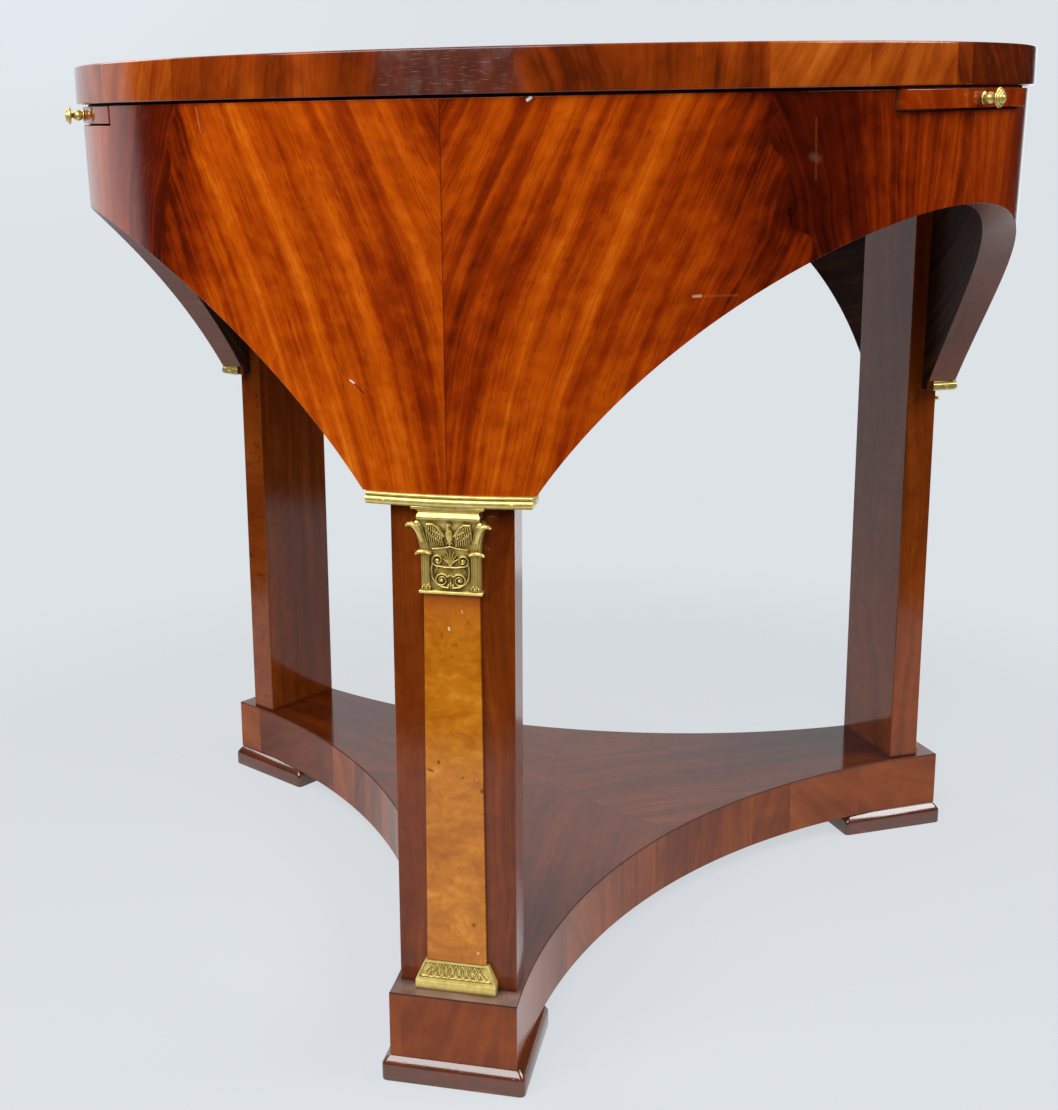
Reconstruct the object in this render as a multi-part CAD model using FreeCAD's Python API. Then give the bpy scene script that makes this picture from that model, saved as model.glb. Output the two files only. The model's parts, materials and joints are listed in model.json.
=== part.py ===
import FreeCAD, Part
import math
import os

# A round mahogany table on three flat legs. A tapering apron with three wide arches comes down to a
# pylon at each leg, brass trims the pylons and the pilasters, and three slides pull out under the top.
# Millimetres, +Z up, origin on the floor under the middle of the top. The front leg stands towards -Y.

Vector = FreeCAD.Vector
UP = Vector(0, 0, 1)
OUTWARD = Vector(1, 0, 0)
CENTRE = Vector(0, 0, 0)

# Where the legs and the slides stand round the table, in degrees from +X. A slide is midway between two legs.
LEGS = {"front": -90, "right": 30, "left": 150}
SLIDES = {"right": -30, "back": 90, "left": 210}
THIRD = 120

# Overall sizes
TABLE_HEIGHT = 760.0
TOP_DIAMETER = 816.0

# The round top: a board with a cross-grained band round its edge
TOP_THICKNESS = 30.0
EDGE_BAND = 4.0
EDGE_ROUNDING = 1.5

# The apron: a ring that tapers downwards, cut into arches
SHADOW_GAP = 2.0
APRON_SETBACK = 6.5
APRON_TAPER = 4.0
APRON_THICKNESS = 26.5
CROWN_DEPTH = 114.5
STRIP_LINE_DEPTH = 301.0
PYLON_WIDTH = 125.0
ARCH_POINTS = 24
ARCH_OVERRUN = 0.01
CUT_MARGIN = 12.0

# The brass strip round the foot of each pylon: a small bead over a large one, on a flat back
STRIP_HEIGHT = 9.0
STRIP_BACK = 1.2
LARGE_BEAD_HEIGHT = 5.4
LARGE_BEAD_DEPTH = 3.0
SMALL_BEAD_HEIGHT = 2.2
SMALL_BEAD_DEPTH = 2.2
STRIP_FILLET = 0.6
PIN_SHANK_RADIUS = 0.8
PIN_LENGTH = 9.0
PIN_HEAD_RADIUS = 1.4
PIN_HEAD_HEIGHT = 0.9
PIN_SPREAD = 92.0

# The legs: flat boards, tenoned into the base and lapped behind the apron
LEG_WIDTH = 90.0
LEG_THICKNESS = 30.0
LEG_SETBACK = 14.0
LEG_EDGE = 1.0
LEG_TENON_WIDTH = 60.0
LEG_TENON_THICKNESS = 16.0
LEG_TENON_LENGTH = 38.0
GLUE_BLOCK_WIDTH = 22.0
GLUE_BLOCK_DEPTH = 26.0
GLUE_BLOCK_HEIGHT = 50.0

# The pilaster on each leg, with its brass capital and base
PILASTER_TOP_WIDTH = 41.0
PILASTER_BOTTOM_WIDTH = 45.5
PILASTER_THICKNESS = 4.0
CAPITAL_HEIGHT = 66.0
ABACUS_HEIGHT = 12.0
ABACUS_TOP_WIDTH = 53.0
ABACUS_TOP_DEPTH = 15.0
BELL_WIDTH = 45.0
BELL_TOP_DEPTH = 12.0
BELL_BOTTOM_DEPTH = 6.0
LEAF_TIP_SPAN = 60.0
LEAF_TIP_RADIUS = 2.4
LOWER_TIP_SPAN = 50.0
LOWER_TIP_DROP = 36.0
ASTRAGAL_WIDTH = 47.0
ASTRAGAL_HEIGHT = 4.0
ASTRAGAL_DEPTH = 7.5
PLINTH_WIDTH = 61.5
PLINTH_DEPTH = 11.0
PLINTH_FILLET_HEIGHT = 7.5
PLINTH_HEIGHT = 21.5
PLINTH_TOP_WIDTH = 49.0
PLINTH_TOP_DEPTH = 6.0
PEG_RADIUS = 2.5
PEG_LENGTH = 10.0

# The base: a three-cornered platform with hollow sides, on three feet
BASE_THICKNESS = 52.5
BASE_END_MARGIN = 20.5
BASE_END_WIDTH = 98.0
BASE_WAIST = 152.5
BASE_EDGE = 2.0
FOOT_HEIGHT = 20.5
FOOT_WIDTH = 111.0
FOOT_LENGTH = 107.0
FOOT_PROJECTION = 4.0
FOOT_OVOLO = 7.0
FOOT_ARRIS = 1.2
FOOT_SCREW_RECESS = 2.0
FOOT_SCREW_INSET = 17.0

# The frame under the top: three bearers from the legs to a hub
BEARER_WIDTH = 50.0
BEARER_HEIGHT = 22.0
BEARER_TENON_WIDTH = 36.0
BEARER_TENON_HEIGHT = 14.0
BEARER_TENON_LENGTH = 12.0
HUB_RADIUS = 55.0
HUB_SIDES = 6

# The slides, their guides and what stops them
SLIDE_WIDTH = 185.0
SLIDE_THICKNESS = 13.5
SLIDE_LENGTH = 226.0
SLIDE_FRONT_DEPTH = 16.0
SLIDE_SIDE_PLAY = 2.5
SLIDE_TOP_GAP = 2.2
SLIDE_SILL_GAP = 1.5
RIGHT_SLIDE_PULL = 6.0
GUIDE_WALL = 18.0
GUIDE_LEDGE_WIDTH = 10.0
GUIDE_LEDGE_HEIGHT = 9.0
BACK_RAIL_THICKNESS = 14.0
STOP_PEG_RADIUS = 5.0
STOP_PEG_DROP = 8.0
STOP_PEG_INSET = 14.0
JOINT_BLOCK_WIDTH = 140.0
JOINT_BLOCK_DEPTH = 24.0
JOINT_BLOCK_CROWN_GAP = 7.0
JOINT_BLOCK_SILL_GAP = 2.0

# The turned brass knobs, from the slide's face outwards
KNOB_LENGTH = 18.0
KNOB_FLANGE_RADIUS = 5.2
KNOB_FLANGE_LENGTH = 2.4
KNOB_SHOULDER_RADIUS = 2.87
KNOB_BELLY_RADIUS = 4.1
KNOB_NECK_RADIUS = 1.5
KNOB_CAP_RADIUS = 7.0
KNOB_CAP_LENGTH = 5.0
KNOB_STUD_RADIUS = 2.0
KNOB_STUD_LENGTH = 13.0

# One size of countersunk wood screw throughout
SCREW_LENGTH = 38.0
SCREW_RADIUS = 2.2
SCREW_HEAD_RADIUS = 4.2
SCREW_INSET = 34.0
LEG_SCREW_RISES = (12.5, 50.0)

# Clearances
GLUE_LINE = 0.2
RUNNING_GAP = 0.3
JOINT_PLAY = 0.1
MORTISE_ROOM = 1.0

# Heights and radii that follow from the sizes above
TOP_RADIUS = TOP_DIAMETER / 2
TOP_UNDERSIDE = TABLE_HEIGHT - TOP_THICKNESS
APRON_TOP = TOP_UNDERSIDE - SHADOW_GAP
CROWN = TABLE_HEIGHT - CROWN_DEPTH
STRIP_LINE = TABLE_HEIGHT - STRIP_LINE_DEPTH
PYLON_FOOT = STRIP_LINE - STRIP_HEIGHT
APRON_RADIUS = TOP_RADIUS - APRON_SETBACK
PYLON_RADIUS = APRON_RADIUS - APRON_TAPER
TOE_WIDTH = PYLON_WIDTH - 2 * LARGE_BEAD_DEPTH
LEG_OUTER = PYLON_RADIUS - LEG_SETBACK
LEG_INNER = LEG_OUTER - LEG_THICKNESS
BASE_TOP = FOOT_HEIGHT + BASE_THICKNESS
BASE_END = LEG_OUTER + BASE_END_MARGIN
FOOT_END = BASE_END + FOOT_PROJECTION
CAPITAL_FOOT = PYLON_FOOT - CAPITAL_HEIGHT
PLINTH_TOP = BASE_TOP + PLINTH_HEIGHT
BEARER_UNDERSIDE = TOP_UNDERSIDE - BEARER_HEIGHT
SLIDE_TOP = TOP_UNDERSIDE - SLIDE_TOP_GAP
SLIDE_UNDERSIDE = SLIDE_TOP - SLIDE_THICKNESS
SILL = SLIDE_UNDERSIDE - SLIDE_SILL_GAP
SLIDE_BACK = APRON_RADIUS - SLIDE_LENGTH
SLIDE_JOIN = APRON_RADIUS - SLIDE_FRONT_DEPTH
OPENING_WIDTH = SLIDE_WIDTH + 2 * SLIDE_SIDE_PLAY
GUIDE_TOE = SLIDE_UNDERSIDE - RUNNING_GAP - GUIDE_LEDGE_HEIGHT
GUIDE_OUTSIDE = OPENING_WIDTH / 2 + GUIDE_WALL
GUIDE_BACK = SLIDE_BACK - RUNNING_GAP
BLOCK_INNER = APRON_RADIUS - APRON_THICKNESS - JOINT_BLOCK_DEPTH
BLOCK_FOOT = CROWN + JOINT_BLOCK_CROWN_GAP
BLOCK_TOP = SILL - JOINT_BLOCK_SILL_GAP


def turned(shape, azimuth):
    """A copy of a shape that was drawn facing +X, turned to face that azimuth."""
    copy = shape.copy()
    copy.rotate(CENTRE, UP, azimuth)
    return copy


def block(x0, x1, width, z0, z1):
    """A box from x0 to x1, centred on y = 0."""
    return Part.makeBox(x1 - x0, width, z1 - z0, Vector(x0, -width / 2, z0))


def polygon(points):
    """A flat face with straight sides."""
    return Part.Face(Part.makePolygon(points + points[:1]))


def lathe(profile, angle=360):
    """Turns a face about the table's axis."""
    return profile.revolve(CENTRE, UP, angle)


def apron_outer(z):
    """The radius of the apron's face at a height."""
    fall = (APRON_TOP - z) / (APRON_TOP - STRIP_LINE)
    return APRON_RADIUS - APRON_TAPER * fall


def ring(inner_offset, outer_offset, z0, z1, angle=360):
    """A ring between two cones that follow the apron's face, offset from it by the two values."""
    corners = []
    for z, offset in ((z0, inner_offset), (z0, outer_offset), (z1, outer_offset), (z1, inner_offset)):
        corners.append(Vector(apron_outer(z) + offset, 0, z))
    return lathe(polygon(corners), angle)


def inside_apron(shape):
    """Trims a piece so that it fits against the apron's back, with a glue line."""
    beyond = ring(-APRON_THICKNESS - GLUE_LINE, TOP_RADIUS, PYLON_FOOT, TOP_UNDERSIDE + CUT_MARGIN)
    return shape.cut(beyond)


def loft(sections):
    """A solid with flat sides through rectangles, each given as depth, width and height above the floor."""
    wires = []
    for depth, width, z in sections:
        corners = [
            Vector(LEG_OUTER, -width / 2, z),
            Vector(LEG_OUTER + depth, -width / 2, z),
            Vector(LEG_OUTER + depth, width / 2, z),
            Vector(LEG_OUTER, width / 2, z),
        ]
        wires.append(Part.makePolygon(corners + corners[:1]))
    return Part.makeLoft(wires, True, True)


def placed(shape, position, direction):
    """Puts a shape drawn along +Z at a position, pointing in a direction."""
    shape.Placement = FreeCAD.Placement(position, FreeCAD.Rotation(UP, direction))
    return shape


def dome(rim, crown):
    """The section of a round cap, from its rim to its crown on the axis: an arc centred on that axis."""
    rise = crown.z - rim.z
    radius = (rim.x ** 2 + rise ** 2) / (2 * rise)
    half_turn = math.atan2(abs(rise), rim.x)
    between = Vector(abs(radius) * math.sin(half_turn), 0, crown.z - radius + radius * math.cos(half_turn))
    return Part.Arc(rim, between, crown).toShape()


def screw(position, direction, play=0.0):
    """A countersunk screw whose head is flush at the position. With play it is the hole for one."""
    head = SCREW_HEAD_RADIUS + play
    shank = SCREW_RADIUS + play
    length = SCREW_LENGTH + play
    corners = [Vector(0, 0, 0), Vector(head, 0, 0), Vector(shank, 0, head - shank)]
    corners += [Vector(shank, 0, length - shank), Vector(0, 0, length)]
    return placed(lathe(polygon(corners)), position, direction)


def pin(position, direction, play=0.0):
    """A round-headed pin whose head stands on the position. With play it is the hole for one."""
    shank = Part.makeCylinder(PIN_SHANK_RADIUS + play, PIN_LENGTH + play)
    head_radius = PIN_HEAD_RADIUS + play
    crown = Vector(0, 0, -PIN_HEAD_HEIGHT - play)
    rim = Vector(head_radius, 0, 0)
    edges = [dome(rim, crown), Part.makeLine(crown, CENTRE), Part.makeLine(CENTRE, rim)]
    head = lathe(Part.Face(Part.Wire(edges)))
    return placed(shank.fuse(head).removeSplitter(), position, direction)


def bearer_screws(play=0.0):
    near_hub = Vector(HUB_RADIUS + SCREW_INSET, 0, BEARER_UNDERSIDE)
    near_leg = Vector(LEG_INNER - SCREW_INSET, 0, BEARER_UNDERSIDE)
    return [screw(near_hub, UP, play), screw(near_leg, UP, play)]


def hub_screws(play=0.0):
    return [screw(Vector(0, 0, BEARER_UNDERSIDE), UP, play)]


def leg_screws(play=0.0):
    """Two screws through each leg into the pylon, in the part that the apron hides."""
    return [screw(Vector(LEG_INNER, 0, CROWN + rise), OUTWARD, play) for rise in LEG_SCREW_RISES]


def foot_screws(play=0.0):
    """Two screws up through each foot, one each side of the leg's tenon."""
    places = (FOOT_END - FOOT_SCREW_INSET, FOOT_END - FOOT_LENGTH + FOOT_SCREW_INSET)
    return [screw(Vector(x, 0, FOOT_SCREW_RECESS), UP, play) for x in places]


def guide_screws(side, play=0.0):
    y = side * (GUIDE_OUTSIDE - GUIDE_WALL / 2)
    places = (GUIDE_BACK + SCREW_INSET, APRON_RADIUS - APRON_THICKNESS - SCREW_INSET)
    return [screw(Vector(x, y, GUIDE_TOE), UP, play) for x in places]


def joint_block_screws(play=0.0):
    """Four screws through each joint block, two into each of the apron segments that meet there."""
    rows = (BLOCK_FOOT + JOINT_BLOCK_DEPTH / 2, BLOCK_TOP - JOINT_BLOCK_DEPTH / 2)
    screws = []
    for y in (-JOINT_BLOCK_WIDTH / 3, JOINT_BLOCK_WIDTH / 3):
        for z in rows:
            screws.append(screw(Vector(BLOCK_INNER, y, z), OUTWARD, play))
    return screws


def strip_pins(play=0.0):
    """Two pins in the face of a strip and one in each of its returns, all in the large bead."""
    z = PYLON_FOOT + STRIP_FILLET + LARGE_BEAD_HEIGHT / 2
    face = apron_outer(z) + GLUE_LINE + LARGE_BEAD_DEPTH
    pins = []
    for side in (-1, 1):
        angle = side * math.asin(PIN_SPREAD / 2 / face)
        inward = Vector(-math.cos(angle), -math.sin(angle), 0)
        pins.append(pin(UP * z - inward * face, inward, play))
        middle = apron_outer(z) - APRON_THICKNESS / 2
        pins.append(pin(Vector(middle, side * PYLON_WIDTH / 2, z), Vector(0, -side, 0), play))
    return pins


def make_top_board():
    board = Part.makeCylinder(TOP_RADIUS - EDGE_BAND - GLUE_LINE, TOP_THICKNESS, Vector(0, 0, TOP_UNDERSIDE))
    holes = hub_screws(JOINT_PLAY)
    for azimuth in LEGS.values():
        holes += [turned(hole, azimuth) for hole in bearer_screws(JOINT_PLAY)]
    for azimuth in SLIDES.values():
        for side in (-1, 1):
            holes += [turned(hole, azimuth) for hole in guide_screws(side, JOINT_PLAY)]
    return board.cut(holes)


def make_edge_band():
    outside = Part.makeCylinder(TOP_RADIUS, TOP_THICKNESS, Vector(0, 0, TOP_UNDERSIDE))
    rims = [edge for edge in outside.Edges if edge.Length > TOP_DIAMETER]
    outside = outside.makeFillet(EDGE_ROUNDING, rims)
    return outside.cut(Part.makeCylinder(TOP_RADIUS - EDGE_BAND, TABLE_HEIGHT))


def arch_space():
    """What an arch takes out of the ring: an arc drawn on the unrolled face, carried through the thickness
    along the radius and then straight down. Its middle faces +X."""
    half_angle = math.radians(THIRD / 2) - math.asin(PYLON_WIDTH / 2 / PYLON_RADIUS)
    half_run = PYLON_RADIUS * half_angle
    rise = CROWN - STRIP_LINE
    arc_radius = (half_run ** 2 + rise ** 2) / (2 * rise)
    edges = []
    for radius in (APRON_RADIUS + CUT_MARGIN, PYLON_RADIUS - APRON_THICKNESS - CUT_MARGIN):
        points = []
        for step in range(ARCH_POINTS + 1):
            angle = (half_angle + ARCH_OVERRUN) * (2 * step / ARCH_POINTS - 1)
            z = CROWN - arc_radius + math.sqrt(arc_radius ** 2 - (PYLON_RADIUS * angle) ** 2)
            points.append(Vector(radius * math.cos(angle), radius * math.sin(angle), z))
        curve = Part.BSplineCurve()
        curve.interpolate(points)
        edges.append(curve.toShape())
    return Part.makeRuledSurface(edges[0], edges[1]).extrude(Vector(0, 0, -2 * rise))


def slide_opening():
    """The notch that two apron segments leave for a slide."""
    return block(PYLON_RADIUS / 2, TOP_RADIUS, OPENING_WIDTH, SILL, TABLE_HEIGHT)


def make_apron():
    """One third of the apron, centred on its pylon, from the middle of one arch to the middle of the next."""
    third = turned(ring(-APRON_THICKNESS, 0, STRIP_LINE, APRON_TOP, THIRD), -THIRD / 2)
    for side in (-1, 1):
        third = third.cut(turned(arch_space(), side * THIRD / 2))
        third = third.cut(turned(slide_opening(), side * THIRD / 2))
    toe = ring(-APRON_THICKNESS, 0, PYLON_FOOT, STRIP_LINE)
    toe = toe.common(block(LEG_INNER, TOP_RADIUS, TOE_WIDTH, PYLON_FOOT, STRIP_LINE))
    apron = third.fuse(toe).removeSplitter()
    holes = strip_pins(JOINT_PLAY) + leg_screws(JOINT_PLAY)
    for side in (-1, 1):
        holes += [turned(hole, side * THIRD / 2) for hole in joint_block_screws(JOINT_PLAY)]
    return apron.cut(holes)


def bead_profile():
    """The strip's section, drawn outwards along +X from its back and upwards from its foot."""
    large_foot = STRIP_FILLET
    large_top = large_foot + LARGE_BEAD_HEIGHT
    small_top = STRIP_HEIGHT - STRIP_FILLET / 2
    small_foot = small_top - SMALL_BEAD_HEIGHT
    heights = (0, large_foot, large_top, small_foot, small_top, STRIP_HEIGHT)
    corners = [Vector(STRIP_BACK, 0, z) for z in heights]
    large_crest = Vector(LARGE_BEAD_DEPTH, 0, (large_foot + large_top) / 2)
    small_crest = Vector(SMALL_BEAD_DEPTH, 0, (small_foot + small_top) / 2)
    edges = [
        Part.makeLine(CENTRE, corners[0]),
        Part.makeLine(corners[0], corners[1]),
        Part.Arc(corners[1], large_crest, corners[2]).toShape(),
        Part.makeLine(corners[2], corners[3]),
        Part.Arc(corners[3], small_crest, corners[4]).toShape(),
        Part.makeLine(corners[4], corners[5]),
        Part.makeLine(corners[5], Vector(0, 0, STRIP_HEIGHT)),
        Part.makeLine(Vector(0, 0, STRIP_HEIGHT), CENTRE),
    ]
    return Part.Face(Part.Wire(edges))


def make_strip():
    """The bead along the pylon's face, and a return along each side."""
    back = apron_outer(STRIP_LINE) + GLUE_LINE
    face = bead_profile()
    face.translate(Vector(back, 0, PYLON_FOOT))
    strip = lathe(face).common(block(LEG_INNER, TOP_RADIUS, PYLON_WIDTH, PYLON_FOOT, STRIP_LINE))
    length = back + LARGE_BEAD_DEPTH - (PYLON_RADIUS - APRON_THICKNESS)
    reach = Part.makeCylinder(back + LARGE_BEAD_DEPTH, TABLE_HEIGHT)
    for side in (-1, 1):
        section = bead_profile()
        section.rotate(CENTRE, UP, side * 90)
        section.translate(Vector(PYLON_RADIUS - APRON_THICKNESS, side * TOE_WIDTH / 2, PYLON_FOOT))
        strip = strip.fuse(section.extrude(OUTWARD * length).common(reach))
    toe_room = ring(-APRON_THICKNESS - CUT_MARGIN, GLUE_LINE, PYLON_FOOT, STRIP_LINE)
    toe_room = toe_room.common(block(LEG_INNER, TOP_RADIUS, TOE_WIDTH, PYLON_FOOT, STRIP_LINE))
    return strip.cut(toe_room).removeSplitter().cut(strip_pins(JOINT_PLAY))


def make_leg():
    board = block(LEG_INNER, LEG_OUTER, LEG_WIDTH, BASE_TOP, TOP_UNDERSIDE)
    upright = [edge for edge in board.Edges if edge.Length > LEG_WIDTH]
    board = inside_apron(board.makeFillet(LEG_EDGE, upright))
    middle = (LEG_INNER + LEG_OUTER) / 2
    tenon = block(middle - LEG_TENON_THICKNESS / 2, middle + LEG_TENON_THICKNESS / 2, LEG_TENON_WIDTH,
                  BASE_TOP - LEG_TENON_LENGTH, BASE_TOP)
    holes = leg_screws(JOINT_PLAY) + [bearer_tenon(LEG_INNER, 1, JOINT_PLAY)]
    holes += [peg(capital_peg_height(), JOINT_PLAY), peg(plinth_peg_height(), JOINT_PLAY)]
    return board.fuse(tenon).removeSplitter().cut(holes)


def capital_peg_height():
    return PYLON_FOOT - CAPITAL_HEIGHT / 2


def plinth_peg_height():
    return BASE_TOP + PLINTH_FILLET_HEIGHT


def peg(z, play=0.0):
    """A peg cast on the back of an ornament. With play it is the hole for one."""
    return Part.makeCylinder(PEG_RADIUS + play, PEG_LENGTH + play, Vector(LEG_OUTER, 0, z), -OUTWARD)


def make_capital():
    """The capital's bell and abacus, with the curled leaf tips at its four corners."""
    abacus_foot = PYLON_FOOT - ABACUS_HEIGHT
    bell_foot = CAPITAL_FOOT + ASTRAGAL_HEIGHT
    capital = loft([(BELL_BOTTOM_DEPTH, BELL_WIDTH, bell_foot), (BELL_TOP_DEPTH, BELL_WIDTH, abacus_foot)])
    pieces = [
        loft([(BELL_TOP_DEPTH, BELL_WIDTH, abacus_foot), (ABACUS_TOP_DEPTH, ABACUS_TOP_WIDTH, PYLON_FOOT)]),
        loft([(ASTRAGAL_DEPTH, ASTRAGAL_WIDTH, CAPITAL_FOOT), (ASTRAGAL_DEPTH, ASTRAGAL_WIDTH, bell_foot)]),
        peg(capital_peg_height()),
    ]
    lower_tip = PYLON_FOOT - LOWER_TIP_DROP
    tips = ((LEAF_TIP_SPAN, abacus_foot, BELL_TOP_DEPTH), (LOWER_TIP_SPAN, lower_tip, BELL_BOTTOM_DEPTH))
    for span, z, depth in tips:
        start = Vector(LEG_OUTER + depth, -span / 2, z)
        pieces.append(Part.makeCylinder(LEAF_TIP_RADIUS, span, start, Vector(0, 1, 0)))
    return capital.fuse(pieces).removeSplitter()


def make_plinth():
    """The flared brass base of the pilaster."""
    fillet_top = BASE_TOP + PLINTH_FILLET_HEIGHT
    plinth = loft([(PLINTH_DEPTH, PLINTH_WIDTH, BASE_TOP), (PLINTH_DEPTH, PLINTH_WIDTH, fillet_top)])
    slope = loft([(PLINTH_DEPTH, PLINTH_WIDTH, fillet_top), (PLINTH_TOP_DEPTH, PLINTH_TOP_WIDTH, PLINTH_TOP)])
    return plinth.fuse([slope, peg(plinth_peg_height())]).removeSplitter()


def make_pilaster():
    corners = [
        Vector(LEG_OUTER, -PILASTER_BOTTOM_WIDTH / 2, PLINTH_TOP),
        Vector(LEG_OUTER, PILASTER_BOTTOM_WIDTH / 2, PLINTH_TOP),
        Vector(LEG_OUTER, PILASTER_TOP_WIDTH / 2, CAPITAL_FOOT),
        Vector(LEG_OUTER, -PILASTER_TOP_WIDTH / 2, CAPITAL_FOOT),
    ]
    return polygon(corners).extrude(OUTWARD * PILASTER_THICKNESS)


def make_glue_blocks():
    """A block in the corner each side of a leg, against the apron's back."""
    blocks = []
    reach = LEG_INNER + GLUE_BLOCK_DEPTH
    foot = CROWN + JOINT_BLOCK_CROWN_GAP
    for side in (-1, 1):
        corner = block(LEG_INNER, reach, GLUE_BLOCK_WIDTH, foot, foot + GLUE_BLOCK_HEIGHT)
        corner.translate(Vector(0, side * (LEG_WIDTH + GLUE_BLOCK_WIDTH) / 2, 0))
        blocks.append(inside_apron(corner))
    return Part.makeCompound(blocks)


def around(azimuth, radius, offset, z):
    """A point at a radius along an azimuth and an offset to its left."""
    return turned(Part.Vertex(Vector(radius, offset, z)), azimuth).Point


def make_base():
    """The platform: straight ends under the legs, joined by hollow sides that are arcs through the waist."""
    edges = []
    for azimuth in LEGS.values():
        start = around(azimuth, BASE_END, -BASE_END_WIDTH / 2, FOOT_HEIGHT)
        end = around(azimuth, BASE_END, BASE_END_WIDTH / 2, FOOT_HEIGHT)
        waist = around(azimuth + THIRD / 2, BASE_WAIST, 0, FOOT_HEIGHT)
        following = around(azimuth + THIRD, BASE_END, -BASE_END_WIDTH / 2, FOOT_HEIGHT)
        edges.append(Part.makeLine(start, end))
        edges.append(Part.Arc(end, waist, following).toShape())
    base = Part.Face(Part.Wire(edges)).extrude(UP * BASE_THICKNESS)
    upper = [edge for edge in base.Edges if min(vertex.Z for vertex in edge.Vertexes) > BASE_TOP - BASE_EDGE]
    base = base.makeFillet(BASE_EDGE, upper)
    middle = (LEG_INNER + LEG_OUTER) / 2
    reach = LEG_TENON_THICKNESS / 2 + JOINT_PLAY
    mortise = block(middle - reach, middle + reach, LEG_TENON_WIDTH + 2 * JOINT_PLAY,
                    BASE_TOP - LEG_TENON_LENGTH - MORTISE_ROOM, BASE_TOP + CUT_MARGIN)
    holes = []
    for azimuth in LEGS.values():
        holes += [turned(hole, azimuth) for hole in [mortise] + foot_screws(JOINT_PLAY)]
    return base.cut(holes)


def make_foot():
    """A flat block with a quarter-round top edge, wider than the base's end above it."""
    foot = block(FOOT_END - FOOT_LENGTH, FOOT_END, FOOT_WIDTH, 0, FOOT_HEIGHT)
    upper = [edge for edge in foot.Edges if min(vertex.Z for vertex in edge.Vertexes) > FOOT_HEIGHT / 2]
    foot = foot.makeFillet(FOOT_OVOLO, upper)
    lower = [edge for edge in foot.Edges if max(vertex.Z for vertex in edge.Vertexes) < FOOT_ARRIS]
    foot = foot.makeFillet(FOOT_ARRIS, lower)
    recesses = []
    for hole in foot_screws(JOINT_PLAY):
        foot_of_hole = Vector(hole.Placement.Base.x, 0, 0)
        recesses.append(Part.makeCylinder(SCREW_HEAD_RADIUS + JOINT_PLAY, FOOT_SCREW_RECESS, foot_of_hole))
    return foot.cut(recesses + foot_screws(JOINT_PLAY))


def bearer_tenon(root, side, play=0.0):
    """The tenon at an end of a bearer, from its root outwards (side 1) or inwards (side -1)."""
    tip = root + side * (BEARER_TENON_LENGTH + play)
    width = BEARER_TENON_WIDTH + 2 * play
    middle = BEARER_UNDERSIDE + BEARER_HEIGHT / 2
    half_height = BEARER_TENON_HEIGHT / 2 + play
    return block(min(root, tip), max(root, tip), width, middle - half_height, middle + half_height)


def make_bearer():
    rail = block(HUB_RADIUS, LEG_INNER, BEARER_WIDTH, BEARER_UNDERSIDE, TOP_UNDERSIDE)
    rail = rail.fuse([bearer_tenon(HUB_RADIUS, -1), bearer_tenon(LEG_INNER, 1)]).removeSplitter()
    return rail.cut(bearer_screws(JOINT_PLAY))


def make_hub():
    """A six-sided block whose flats take the bearers."""
    corner_radius = HUB_RADIUS / math.cos(math.pi / HUB_SIDES)
    corners = [around((side + 0.5) * 360 / HUB_SIDES + LEGS["front"], corner_radius, 0, BEARER_UNDERSIDE)
               for side in range(HUB_SIDES)]
    hub = polygon(corners).extrude(UP * BEARER_HEIGHT)
    holes = [turned(bearer_tenon(HUB_RADIUS, -1, JOINT_PLAY), azimuth) for azimuth in LEGS.values()]
    return hub.cut(holes + hub_screws(JOINT_PLAY))


def make_joint_block():
    """The block that holds two apron segments together behind the crown of an arch."""
    back = block(BLOCK_INNER, TOP_RADIUS, JOINT_BLOCK_WIDTH, BLOCK_FOOT, BLOCK_TOP)
    return inside_apron(back).cut(joint_block_screws(JOINT_PLAY))


def make_guide(side):
    """A rail beside a slide, with a ledge under its edge."""
    wall_inside = OPENING_WIDTH / 2
    ledge_inside = SLIDE_WIDTH / 2 - GUIDE_LEDGE_WIDTH
    ledge_top = SLIDE_UNDERSIDE - RUNNING_GAP
    corners = [
        Vector(GUIDE_BACK, side * ledge_inside, GUIDE_TOE),
        Vector(GUIDE_BACK, side * GUIDE_OUTSIDE, GUIDE_TOE),
        Vector(GUIDE_BACK, side * GUIDE_OUTSIDE, TOP_UNDERSIDE),
        Vector(GUIDE_BACK, side * wall_inside, TOP_UNDERSIDE),
        Vector(GUIDE_BACK, side * wall_inside, ledge_top),
        Vector(GUIDE_BACK, side * ledge_inside, ledge_top),
    ]
    rail = polygon(corners).extrude(OUTWARD * (TOP_RADIUS - GUIDE_BACK))
    return inside_apron(rail).cut(guide_screws(side, JOINT_PLAY))


def make_back_rail():
    """The rail across the inner ends of two guides, which the closed slide meets. It stops at the bearers."""
    rail = block(GUIDE_BACK - BACK_RAIL_THICKNESS, GUIDE_BACK, 2 * GUIDE_OUTSIDE, GUIDE_TOE, TOP_UNDERSIDE)
    bearer_room = block(HUB_RADIUS, LEG_INNER, BEARER_WIDTH + 2 * GLUE_LINE, GUIDE_TOE, TOP_UNDERSIDE)
    return rail.cut([turned(bearer_room, side * THIRD / 2) for side in (-1, 1)])


def stop_peg(play=0.0):
    """The dowel under a slide's inner end, which meets the joint block when the slide is pulled right out."""
    foot = Vector(SLIDE_BACK + STOP_PEG_INSET, 0, SLIDE_UNDERSIDE - STOP_PEG_DROP)
    length = SLIDE_THICKNESS + STOP_PEG_DROP - SLIDE_SILL_GAP
    return Part.makeCylinder(STOP_PEG_RADIUS + play, length + play, foot)


def make_slide_board():
    board = block(SLIDE_BACK, SLIDE_JOIN, SLIDE_WIDTH, SLIDE_UNDERSIDE, SLIDE_TOP)
    return board.cut(stop_peg(JOINT_PLAY))


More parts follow.
